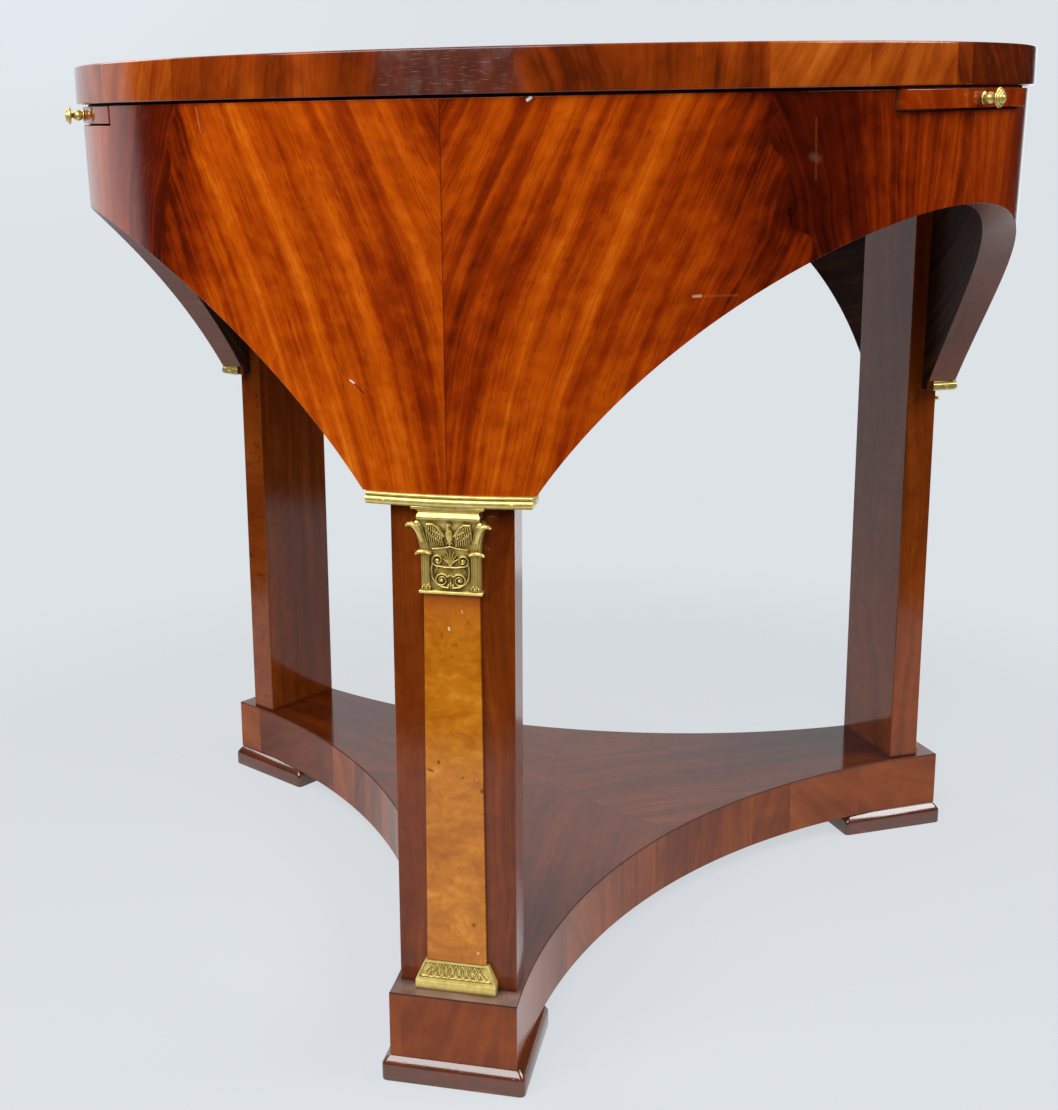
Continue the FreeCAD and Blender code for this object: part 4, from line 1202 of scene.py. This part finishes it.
# %% Piece: capital, its bell and scrolls
CAPITAL_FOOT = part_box("capital_front")[0].z
BELL_FOOT, BELL_TOP = 2.75, 55.0
PROFILE = [
    (0.0, 22.4, 6.2), (0.4, 23.0, 7.1), (1.3, 23.2, 7.4), (2.3, 23.0, 7.1), (2.7, 22.4, 6.2),
    (2.75, 21.6, 4.4), (16.0, 21.6, 4.6), (30.0, 21.6, 5.2), (38.0, 22.2, 6.2), (44.0, 23.4, 7.6),
    (48.0, 24.6, 8.8), (51.0, 25.6, 9.8), (53.0, 25.2, 10.2), (55.0, 23.2, 10.4), (55.05, 22.2, 11.0),
    (56.1, 22.2, 11.2), (56.2, 22.6, 12.6), (56.8, 22.9, 13.1), (57.6, 22.9, 13.1), (58.6, 22.7, 12.8),
    (59.8, 22.3, 12.2), (60.8, 21.9, 11.5), (61.6, 22.0, 11.3), (62.6, 22.5, 11.9), (63.4, 23.6, 12.9),
    (64.0, 25.2, 14.2), (64.05, 26.0, 14.8), (65.7, 26.3, 15.0), (66.0, 26.1, 14.8),
]
STALK = [(18.2, 2.8), (18.1, 14.0), (18.2, 28.0), (18.8, 36.0), (20.0, 42.0), (21.6, 48.0), (23.2, 52.0)]
UPPER_SCROLL, LOWER_SCROLL = (9.2, 25.4), (6.5, 10.6)
PALMETTE_FOOT = 22.4

profile_up, half_widths, profile_depths = zip(*PROFILE)
row_places = spread(BELL_FOOT, BELL_TOP, 190) + list(profile_up) + spread(0, 2.7, 8) + spread(56, 66, 20)
rows = np.array(sorted(set(row_places)))
shares = np.linspace(-1, 1, 161)
up, share = np.meshgrid(rows, shares, indexing="ij")
bell = Ground(share * np.interp(rows, profile_up, half_widths)[:, None], up)

bell.pair(STALK, 7.2, 2.8)
for offset in (-2.5, -0.85, 0.85, 2.5):
    bell.pair([(x + offset, y) for x, y in STALK], 1.5, 3.7 - 0.3 * abs(offset))
for number in range(5):
    bell.bosses((15.2 + 1.3 * number, 5.0 + 1.3 * (number % 2)), 1.8, 3.4, 3.9)
bell.pair([(14.6, 30.4), (17.6, 31.8), (20.8, 31.6)], 3.0, 4.8, end=0.8)
bell.pair([(0, 36.0), (3.6, 34.9), (8.0, 34.3), (12.8, 33.6)], 1.5, 2.6)
bell.pair([(0.6, 20.4), (4.4, 20.4), (9.0, 21.2)] + curl(UPPER_SCROLL, 4.4, 275, 1.30), 1.8, 3.1, end=0.8)
bell.bosses(UPPER_SCROLL, 3.7, 3.7, 3.6)
for lean in (-62, -42, -21, 0, 21, 42, 62):
    turn, length = math.radians(lean), 11.6 - abs(lean) * 0.05
    across, rise = length * math.sin(turn) * 0.72, length * math.cos(turn)
    petal = [(across * 0.12, 0), (across * 0.55, rise * 0.6), (across, rise)]
    bell.rod([(x, PALMETTE_FOOT + y) for x, y in petal], 1.7, 2.9, end=0.55)
bell.boss((0, 21.4), 3.4, 3.0, 3.0)
bell.pair([(12.8, 23.6), (14.0, 18.6), (13.4, 12.6), (10.8, 8.4), (6.4, 5.8), (1.8, 5.2)], 1.8, 3.0)
bell.pair([(0.9, 14.2)] + curl(LOWER_SCROLL, 5.0, 150, -1.55), 1.9, 3.1, end=0.75)
bell.bosses(LOWER_SCROLL, 3.6, 3.6, 3.6)
bell.pair([(9.8, 19.4), (11.2, 16.6), (11.6, 13.6)], 1.4, 2.2, end=0.5)
bell.rod([(0, 5.0), (0, 10.5), (0, 18.5)], 1.7, 2.4, end=0.5)
bell.bosses((1.7, 6.4), 2.4, 3.8, 2.6)
bell.boss((0, 7.6), 2.0, 5.0, 3.0)
print("bell relief up to", round(bell.height.max(), 2), "mm high")

# %% [markdown]
# The bird stands over the palmette: body, neck, head and beak, two wings of eight long feathers under rows of
# short ones, a tail and two legs. Chisel marks cover the bell, so that no part of it is quite smooth.

# %% Piece: capital, its bird and casting
LONG_FEATHERS = 8

bell.boss((0, 44.0), 6.4, 11.0, 4.0)
bell.rod([(0, 47.0), (-0.7, 50.0), (0, 52.4)], 3.0, 3.8, end=0.9)
bell.boss((0.3, 52.8), 3.6, 3.2, 4.2)
bell.rod([(1.2, 52.8), (3.2, 51.8)], 1.2, 3.4, end=0.5)
bell.pair([(3.6, 44.0), (5.4, 46.6), (8.0, 50.6), (11.4, 53.0), (15.6, 53.0)], 2.4, 3.9, end=0.8)
for number in range(LONG_FEATHERS):
    share_out = number / (LONG_FEATHERS - 1)
    root = (4.8 + 10.6 * share_out, 45.4 + 7.0 * math.sin(share_out * math.pi / 2))
    tip = (4.6 + 11.2 * share_out, 36.2 + 4.2 * share_out ** 2)
    middle = ((root[0] + tip[0]) / 2 + 0.6, (root[1] + tip[1]) / 2)
    bell.pair([root, middle, tip], 1.8, 3.5, end=0.75)
for tier in range(3):
    for number in range(6):
        feather = (5.4 + 1.75 * number + 0.8 * (tier % 2), 44.6 - 2.2 * tier + 0.95 * number)
        bell.bosses(feather, 1.8, 2.8, 4.0)
bell.rod([(0, 39.6), (0, 37.2)], 2.8, 2.8, end=0.8)
bell.pair([(1.2, 39.2), (2.6, 36.8)], 1.4, 2.6, end=0.7)

chisel_across = np.sin(bell.across * 9.1 + 3.0 * np.sin(up * 0.9))
chisel_up = np.sin(up * 6.7 + 2.0 * np.sin(bell.across * 1.3))
on_bell = (up >= BELL_FOOT) & (up <= BELL_TOP)
depth = np.interp(rows, profile_up, profile_depths)[:, None]
depth = depth + np.where(on_bell, bell.height + 0.10 * chisel_across * chisel_up, 0)


def capital_outside(column, row):
    return LEG_FACE + depth[row, column] * MM, bell.across[row, column] * MM, CAPITAL_FOOT + rows[row] * MM


def capital_inside(column, row):
    return LEG_FACE + GLUE, *capital_outside(column, row)[1:]


cells = full_grid(len(shares), len(rows))
capital_form = thick_sheet(capital_outside, capital_inside, cells)
print("capital relief of", len(cells), "cells")

# %% [markdown]
# The leaves at the capital's corners curl right away from the plaque, so they cannot be part of a height.
# They are small tapering horns, swept along a line in space and added to the same casting.

# %% Leaf tips of the capital
UPPER_LEAF = [(8.6, 19.6, 40.0), (10.2, 21.2, 46.0), (11.8, 23.4, 50.6), (12.6, 26.4, 52.8),
              (12.8, 29.0, 52.6), (12.6, 30.6, 51.2)]
UPPER_LEAF_SIZES = [2.6, 3.0, 3.0, 2.4, 1.8, 1.0]
LOWER_LEAF = [(7.0, 15.8, 30.6), (8.6, 18.8, 31.8), (9.2, 21.8, 31.8), (9.0, 24.0, 30.6), (8.8, 25.0, 29.6)]
LOWER_LEAF_SIZES = [1.8, 2.0, 1.9, 1.5, 0.9]


def horn(form, points, sizes, flat=0.75, sides=10):
    """A closed tapering tube through points. Flat is its thickness across, as a share of its width."""
    rings = []
    for number, (point, size) in enumerate(zip(points, sizes)):
        before, after = points[max(number - 1, 0)], points[min(number + 1, len(points) - 1)]
        forward = (after - before).normalized()
        wide = Vector((1, 0, 0))
        wide = (wide - forward * wide.dot(forward)).normalized()
        thin = forward.cross(wide) * flat
        rings.append([form.verts.new(point + size * (wide * math.cos(t) + thin * math.sin(t)))
                      for t in full_turn(sides)])
    skin(form, rings)
    close_ends(form, rings)


for side in (-1, 1):
    for line, sizes in ((UPPER_LEAF, UPPER_LEAF_SIZES), (LOWER_LEAF, LOWER_LEAF_SIZES)):
        points = [Vector((LEG_FACE + d * MM, side * a * MM, CAPITAL_FOOT + u * MM)) for d, a, u in line]
        horn(capital_form, points, [size * MM for size in sizes])
capital = as_mesh("capital", capital_form, crease=55)
stand_at_legs("brass_capital", capital, brass_finish, "capital")
print("capital of", len(capital.polygons), "faces")

# %% [markdown]
# The pilaster stands on a flared brass base: a plain fillet below that leans back a little, and above it a
# sloping face with a row of leaf tips inside a raised border. The field is sunk and the leaves rise back to
# the border's level.

# %% Piece: pilaster base
base_low, base_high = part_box("pilaster_base_front")
PLINTH_FOOT_HALF, PLINTH_TOP_HALF = base_high.x, 0.0245
PLINTH_DEPTH, PLINTH_TOP_DEPTH = -base_low.y - LEG_FACE, 0.006
FILLET_HEIGHT, FILLET_LEAN = 0.0075, 0.0010
FIELD_SINK, FIELD_BORDER = 1.3, 1.5
LEAF_COUNT, LEAVES_HALF_RUN, LEAVES_TAPER = 9, 22.0, 0.86

slope_height = base_high.z - base_low.z - FILLET_HEIGHT
slope_rows = np.linspace(0, 1, 52)
slope_shares = np.linspace(-1, 1, 181)
slope_length = math.hypot(slope_height, PLINTH_DEPTH - PLINTH_TOP_DEPTH) / MM
slope_halves = (PLINTH_FOOT_HALF + (PLINTH_TOP_HALF - PLINTH_FOOT_HALF) * slope_rows[:, None]) / MM
up, share = np.meshgrid(slope_rows * slope_length, slope_shares, indexing="ij")
field = Ground(share * slope_halves, up)
from_edge = np.minimum(slope_halves - np.abs(field.across), np.minimum(up, slope_length - up))
field.height = np.where(from_edge < FIELD_BORDER, FIELD_SINK, 0.0)
field.rod([(-26.0, 2.6), (26.0, 2.6)], 1.0, 0.9)
pitch = 2 * LEAVES_HALF_RUN / (LEAF_COUNT - 1)
for number in range(LEAF_COUNT):
    middle = pitch * number - LEAVES_HALF_RUN
    top = middle * LEAVES_TAPER
    for side in (-1, 1):
        field.rod([(middle + side * 0.4, 3.2), (middle + side * 2.1, 6.2), (top + side * 1.7, 9.4),
                   (top, 12.6)], 0.9, FIELD_SINK)
    field.rod([(middle, 3.4), (top, 11.0)], 1.3, FIELD_SINK, end=0.6)
    if number < LEAF_COUNT - 1:
        between = pitch / 2
        field.rod([(middle + between, 3.4), (top + between * LEAVES_TAPER, 12.4)], 0.8, FIELD_SINK * 0.8)

fillet_back = PLINTH_DEPTH - FILLET_LEAN
slope_foot = fillet_back - 0.0005
FILLET = [(0.0, PLINTH_DEPTH - 0.0004), (0.0004, PLINTH_DEPTH), (FILLET_HEIGHT - 0.0006, fillet_back),
          (FILLET_HEIGHT - 0.0001, slope_foot)]


def plinth_outside(column, row):
    if row < len(FILLET):
        height, depth = FILLET[row]
        return LEG_FACE + depth, slope_shares[column] * PLINTH_FOOT_HALF, base_low.z + height
    row -= len(FILLET)
    ground = slope_foot + (PLINTH_TOP_DEPTH - fillet_back) * slope_rows[row]
    sunk = (field.height[row, column] - FIELD_SINK) * MM
    return (LEG_FACE + ground + sunk, field.across[row, column] * MM,
            base_low.z + FILLET_HEIGHT + slope_height * slope_rows[row])


def plinth_inside(column, row):
    return LEG_FACE + GLUE, *plinth_outside(column, row)[1:]


cells = full_grid(len(slope_shares), len(FILLET) + len(slope_rows))
plinth = as_mesh("pilaster base", thick_sheet(plinth_outside, plinth_inside, cells), crease=55)
stand_at_legs("brass_pilaster_base", plinth, waxed_brass_finish, "pilaster_base")
print("pilaster base of", len(plinth.polygons), "faces with", LEAF_COUNT, "leaves")

# %% [markdown]
# The base is a three-cornered board: three straight ends joined by arcs that curve in towards the middle. Its
# outline is worked out from the ends and the waist, then raised to its thickness, and only its upper edge is
# rounded. Its face and its sides carry different veneers, so it has two materials.

# %% Piece: base
BASE_END = -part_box("base_platform")[0].y
BASE_END_HALF = 0.049
BASE_WAIST = 0.1525
BASE_ROUNDING = 0.0008
ARC_STEPS = 64


def hollow_side(start, waist, end):
    """Points on the arc through three points, without its ends."""
    a, b, c = (complex(*point) for point in (start, waist, end))
    w = (c - a) / (b - a)
    middle = a + (b - a) * (w - abs(w) ** 2) / (2j * w.imag)
    first = a - middle
    swing = np.angle((c - middle) / first)
    spots = [middle + first * np.exp(1j * swing * step / ARC_STEPS) for step in range(1, ARC_STEPS)]
    return [(spot.real, spot.imag) for spot in spots]


def around(azimuth, radius, offset):
    """A point at a radius along an azimuth, moved sideways by the offset."""
    turn = math.radians(azimuth)
    return (radius * math.cos(turn) - offset * math.sin(turn),
            radius * math.sin(turn) + offset * math.cos(turn))


outline = []
for azimuth in LEGS.values():
    first = around(azimuth, BASE_END, -BASE_END_HALF)
    last = around(azimuth, BASE_END, BASE_END_HALF)
    following = around(azimuth + 120, BASE_END, -BASE_END_HALF)
    outline += [first, last] + hollow_side(last, around(azimuth + 60, BASE_WAIST, 0), following)

form = bmesh.new()
weights = form.edges.layers.float.new("bevel_weight_edge")
rings = [[form.verts.new((x, y, height)) for x, y in outline] for height in (BASE_FOOT, BASE_TOP)]
# The order of the faces decides which veneer the rounded edge gets, so the ends come before the sides.
for edge in close_ends(form, rings)[-1].edges:
    edge[weights] = 1.0
for side_face in skin(form, rings):
    side_face.material_index = 1
base = as_mesh("base", form)
base.materials.append(base_face_finish)
base.materials.append(base_side_finish)
piece = stand("base_veneered", base, base_face_finish, "base_platform")
bevel = piece.modifiers.new("rounded upper edge", "BEVEL")
bevel.width = BASE_ROUNDING
bevel.segments = 3
bevel.limit_method = "WEIGHT"
bevel.harden_normals = True
print("base outline of", len(outline), "points")

# %% [markdown]
# A foot is a flat block with a rounded top edge, a little wider than the end of the base above it. Wear has
# flattened the rounding, so it lies between a quarter-round and a plain chamfer. Each level of the block is
# the same rounded rectangle drawn in by the moulding, stacked from the floor up.

# %% Piece: foot
foot_low, foot_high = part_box("foot_front")
FOOT_HALF_WIDTH = foot_high.x
FOOT_OUTER, FOOT_INNER = -foot_low.y, -foot_high.y
FOOT_HEIGHT = foot_high.z
BEVEL_HEIGHT, BEVEL_DEPTH = 0.007, 0.0054
BEVEL_STEPS = 8
FLATNESS = 0.7
FOOT_ARRIS = 0.0014
FOOT_CORNER, SMALLEST_CORNER = 0.004, 0.0015
CORNER_STEPS = 6


def foot_outline(inset):
    """A rounded rectangle, drawn in by the inset."""
    radius = max(FOOT_CORNER - inset * 0.3, SMALLEST_CORNER)
    inner, outer = FOOT_INNER + inset + radius, FOOT_OUTER - inset - radius
    across = FOOT_HALF_WIDTH - inset - radius
    centres = [(outer, across), (inner, across), (inner, -across), (outer, -across)]
    return [point for number, centre in enumerate(centres)
            for point in quarter(centre, radius, 90 * number, CORNER_STEPS)]


levels = [(z, FOOT_ARRIS - x) for x, z in quarter((0, FOOT_ARRIS), FOOT_ARRIS, -90)]
for step in range(BEVEL_STEPS + 1):
    share = step / BEVEL_STEPS
    turn = math.pi / 2 * share
    bulge = FLATNESS * share + (1 - FLATNESS) * (1 - math.cos(turn))
    rise = FLATNESS * share + (1 - FLATNESS) * math.sin(turn)
    levels.append((FOOT_HEIGHT - BEVEL_HEIGHT * (1 - rise), BEVEL_DEPTH * bulge))
form = bmesh.new()
layers = [[form.verts.new((x, y, height)) for x, y in foot_outline(inset)] for height, inset in levels]
skin(form, layers)
close_ends(form, layers)
foot = as_mesh("foot", form)
stand_at_legs("foot_polished", foot, foot_finish, "foot")
print("foot of", len(foot.polygons), "faces")

# %% [markdown]
# Under the top, a slide pulls out in the middle of each arch. Its front is a lipping that continues the
# apron's face and its set-back lip, so it is cut from the same curved sheet, with straight ends. The frame
# says how far each slide stands out at rest.

# %% Piece: slide fronts
front_low, front_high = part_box("slide_front_back")
SLIDE_JOIN = front_low.y
FRONT_TOP_ROW, FRONT_COLUMNS = 4, 49
SLIDE_LIP_GAP = 0.0005
SLIDE_LIP_TOP = TOP_UNDERSIDE - SLIDE_LIP_GAP
front_columns = np.linspace(-front_high.x, front_high.x, FRONT_COLUMNS)
front_rows = [*np.linspace(front_low.z, front_high.z, FRONT_TOP_ROW + 1), front_high.z, SLIDE_LIP_TOP]


def front_outside(column, row):
    y, z = front_columns[column], front_rows[row]
    radius = apron_face(z) if row <= FRONT_TOP_ROW else LIP_RADIUS
    return math.sqrt(radius ** 2 - y ** 2), y, z


def front_inside(column, row):
    drop = LIP_DROP if row == FRONT_TOP_ROW else 0.0
    return SLIDE_JOIN, front_columns[column], front_rows[row] - drop


def reach(node, azimuth):
    """How far a piece of the frame reaches from the axis along an azimuth."""
    direction = Vector((*around(azimuth, 1.0, 0.0), 0.0))
    return max(vertex.co.dot(direction) for vertex in nodes[node].data.vertices)


closed_reach = reach("slide_front_back", SLIDES["back"])
PULLS = {side: reach(f"slide_front_{side}", azimuth) - closed_reach for side, azimuth in SLIDES.items()}


def stand_at_slides(name, mesh, material, node):
    """Puts a piece on each slide, as far out as that slide stands at rest."""
    return [stand(f"{name}_{side}", mesh, material, f"{node}_{side}", f"slide_{side}", azimuth, PULLS[side])
            for side, azimuth in SLIDES.items()]


cells = full_grid(len(front_columns), len(front_rows))
front = as_mesh("slide front", thick_sheet(front_outside, front_inside, cells))
front.materials.append(slide_finish)
front.materials.append(painted_shade_finish)
# Painted shade on the slide front's lip, which closes the gap under the top.
finish_above(front, front_high.z, 1)
for piece in stand_at_slides("slide_lipping", front, slide_finish, "slide_front"):
    soften(piece, VENEER_ARRIS)
print("slides stand out by", {side: round(pull, 4) for side, pull in PULLS.items()})

# %% [markdown]
# The knobs are turned from brass rod: a flange, a belly that swells from a narrow waist, a thin neck, and a
# cap of three steps with a hollow in its end. A lathe makes such a shape, so it is a section swung round its
# axis. The section is in millimetres.

# %% Piece: knobs
FLANGE, WAIST, BELLY, NECK, CAP, CAP_NECK = 4.8, 2.8, 4.4, 1.5, 7.3, 2.2
BELLY_FOOT, BELLY_HEIGHT, CAP_FOOT = 1.7, 8.2, 11.8
KNOB_STEPS, BELLY_STEPS, CAP_STEPS = 48, 16, 6

knob_section = [(0, 0.2), (FLANGE - 0.3, 0.2), (FLANGE, 0.5), (FLANGE, 0.9), (FLANGE - 0.5, 1.3), (3.0, 1.5)]
for step in range(BELLY_STEPS + 1):
    share = step / BELLY_STEPS
    slim = WAIST + (NECK - WAIST) * share
    swell = math.sin(math.pi * share ** 0.75) ** 1.2
    knob_section.append((slim + (BELLY - slim) * swell, BELLY_FOOT + BELLY_HEIGHT * share))
knob_section += [(1.9, 10.1), (2.1, 10.35), (1.9, 10.6)]
for step in range(CAP_STEPS + 1):
    turn = math.pi / 2 * step / CAP_STEPS
    knob_section.append((CAP_NECK + (CAP - CAP_NECK) * math.sin(turn), CAP_FOOT - math.cos(turn)))
for rim, foot in ((CAP, CAP_FOOT), (CAP - 1.5, CAP_FOOT + 1.2), (CAP - 2.9, CAP_FOOT + 2.4)):
    knob_section += [(rim, foot + 0.6), (rim - 0.3, foot + 0.95), (rim - 0.8, foot + 1.05),
                     (rim - 1.3, foot + 0.85)]
knob_section += [(2.6, 15.0), (1.9, 15.1), (1.5, 15.4), (1.0, 15.7), (0, 15.8)]
form = turned([(radius * MM, height * MM) for radius, height in knob_section], KNOB_STEPS)
knob_height = (front_low.z + front_high.z) / 2
knob_place = Matrix.Translation((apron_face(knob_height), 0, knob_height))
bmesh.ops.transform(form, matrix=knob_place @ LAID_OVER, verts=form.verts)
knob = as_mesh("knob", form, crease=60)
stand_at_slides("brass_knob", knob, brass_finish, "slide_knob")
print("knob of", len(knob.polygons), "faces")

# %% [markdown]
# The studio is a pale sheet of paper with soft light. In reflections the world is pale behind the table,
# where the paper hangs, and dark in front, where the room is: that contrast is what makes polish and brass
# look like themselves. A narrow bright panel stands at the paper's edge. For the camera the background is the
# same pale grey from every side, a little lighter and bluer at the upper left, and the floor melts into it at
# its rim.

# %% World
PAPER, GLARE = colour(221, 226, 230), colour(229, 234, 240)
ROOM, CEILING = colour(24, 23, 24), colour(150, 150, 152)
WHITE = (1.0, 1.0, 1.0, 1.0)
AMBIENT = 0.20
PAPER_BAND = [math.radians(angle) for angle in (72, 80, 163, 171)]
PANEL_BAND = [math.radians(angle) for angle in (73, 77, 83, 87)]
GLARE_BAND = [math.radians(angle) for angle in (98, 120, 140, 172)]

world = bpy.data.worlds.new("studio")
bpy.context.scene.world = world
world.use_nodes = True
world.node_tree.nodes.clear()
net = Net(world.node_tree)
x, y, z = net.parts(net.get("TexCoord", output="Generated"))
azimuth = net.angle(x, y)
camera_ray, glossy_ray, clear_ray = net.ray_kinds()
seen_plain = net.math("MAXIMUM", camera_ray, clear_ray)
seen = net.math("MAXIMUM", seen_plain, glossy_ray)
paper = net.math("MAXIMUM", net.band(azimuth, *PAPER_BAND), seen_plain)
panel = net.band(azimuth, *PANEL_BAND) * glossy_ray + 1.0
room = net.tint(net.smooth(z, 0.35, 0.65), ROOM, CEILING)
backdrop = net.tint(net.smooth(z, -0.12, 0.10) * net.band(azimuth, *GLARE_BAND), PAPER, GLARE)
view = net.get("Background", {0: net.tint(paper, room, backdrop), 1: panel})
light = net.get("Background", {0: WHITE, 1: AMBIENT})
result = net.get("MixShader", {0: seen, 1: light, 2: view})
net.node("OutputWorld", {0: result})
print("world", world.name)

# %% [markdown]
# The floor is a disc of the same paper. It glows a little, so that it matches the background, and takes the
# rest of its light from the lamps, so that the table's shadow lies on it. Its rim is see-through.

# %% Floor
FLOOR_RADIUS, FLOOR_CLEAR = 1.15, 1.10
FLOOR_SOLID, MIRRORED_SOLID = 0.66, 0.95
FLOOR_GLOW = 0.805
FLOOR_STEPS = 96
FIBRES = [(0.3, colour(95, 97, 99)), (0.7, colour(99, 101, 103))]

floor_material = bpy.data.materials.new("paper floor")
floor_material.use_nodes = True
floor_material.node_tree.nodes.clear()
net = Net(floor_material.node_tree)
place = net.here()
x, y, z = net.parts(place)
camera_ray, glossy_ray, clear_ray = net.ray_kinds()
seen = net.math("MAXIMUM", net.math("MAXIMUM", camera_ray, glossy_ray), clear_ray)
matte = net.get("BsdfDiffuse", {0: net.ramp(net.noise(place, scale=420.0, detail=3.0), FIBRES)})
glow = net.get("Emission", {0: PAPER, 1: FLOOR_GLOW})
lit = net.get("AddShader", {0: matte, 1: glow})
bounce = net.get("BsdfDiffuse", {0: PAPER})
plain = net.get("MixShader", {0: seen, 1: bounce, 2: lit})
rim = net.smooth(net.length(x, y), net.mix(glossy_ray, FLOOR_SOLID, MIRRORED_SOLID), FLOOR_CLEAR)
result = net.get("MixShader", {0: rim, 1: plain, 2: net.get("BsdfTransparent")})
net.node("OutputMaterial", {0: result})

form = bmesh.new()
bmesh.ops.create_circle(form, cap_ends=True, segments=FLOOR_STEPS, radius=FLOOR_RADIUS)
floor = bpy.data.objects.new("floor", as_mesh("floor", form))
floor.data.materials.append(floor_material)
bpy.context.scene.collection.objects.link(floor)
print("floor of radius", FLOOR_RADIUS)

# %% [markdown]
# Three soft boxes light the table: a large one to the left of the camera, one on the right and a weak one
# behind on the left. Their directions follow from the highlights: a white band on the front foot's moulding
# and a bright line on the brass bead. Large boxes keep their mirror images in the polish soft.

# %% Lamps
LAMP_DISTANCE = 2.0
LEFT_AIM, RIGHT_AIM, BACK_AIM = (0, -0.35, 0.45), (0.30, -0.20, 0.60), (-0.30, 0.15, 0.35)


def soft_box(name, aim, azimuth, elevation, width, height, power):
    """A flat lamp at a distance from the point that it is aimed at. Its angles are in degrees."""
    lamp = bpy.data.lights.new(name, "AREA")
    lamp.shape = "RECTANGLE"
    lamp.size, lamp.size_y = width, height
    lamp.energy = power
    box = bpy.data.objects.new(name, lamp)
    turn, tilt = math.radians(azimuth), math.radians(elevation)
    direction = Vector((math.cos(tilt) * math.cos(turn), math.cos(tilt) * math.sin(turn), math.sin(tilt)))
    box.location = Vector(aim) + direction * LAMP_DISTANCE
    box.rotation_euler = direction.to_track_quat("Z", "Y").to_euler()
    box.visible_camera = False
    bpy.context.scene.collection.objects.link(box)


soft_box("left soft box", LEFT_AIM, azimuth=-112, elevation=40, width=2.4, height=1.2, power=55)
soft_box("right soft box", RIGHT_AIM, azimuth=3, elevation=34, width=1.5, height=1.0, power=38)
soft_box("back soft box", BACK_AIM, azimuth=168, elevation=40, width=1.0, height=0.8, power=11)
print("three soft boxes")

# %% [markdown]
# The camera stands a little to the right of the front leg and just below the height of the top. Its place and
# lens were worked out from points of the table whose sizes are known, and its shift is the one that the
# picture's cropping needs.

# %% Camera
PICTURE_HEIGHT = 1110
FOCAL_PIXELS = 1633.07
SENSOR = 36.0
CAMERA_PLACE = (0.2552, -1.4748, 0.7228)
CAMERA_YAW, CAMERA_PITCH, CAMERA_ROLL = (math.radians(angle) for angle in (14.641, 13.141, -1.133))
CAMERA_SHIFT = (0.1069, -0.0604)

lens = bpy.data.cameras.new("camera")
lens.sensor_width = SENSOR
lens.lens = FOCAL_PIXELS * SENSOR / PICTURE_HEIGHT
lens.shift_x, lens.shift_y = CAMERA_SHIFT
camera = bpy.data.objects.new("camera", lens)
turn = Matrix.Rotation(CAMERA_YAW, 4, "Z") @ Matrix.Rotation(math.pi / 2 - CAMERA_PITCH, 4, "X")
camera.matrix_world = Matrix.Translation(CAMERA_PLACE) @ turn @ Matrix.Rotation(CAMERA_ROLL, 4, "Z")
bpy.context.scene.collection.objects.link(camera)
bpy.context.scene.camera = camera
bpy.context.scene.view_settings.view_transform = "Standard"
print("camera with a lens of", round(lens.lens, 2), "mm")

# %% Update the scene
bpy.context.view_layer.update()
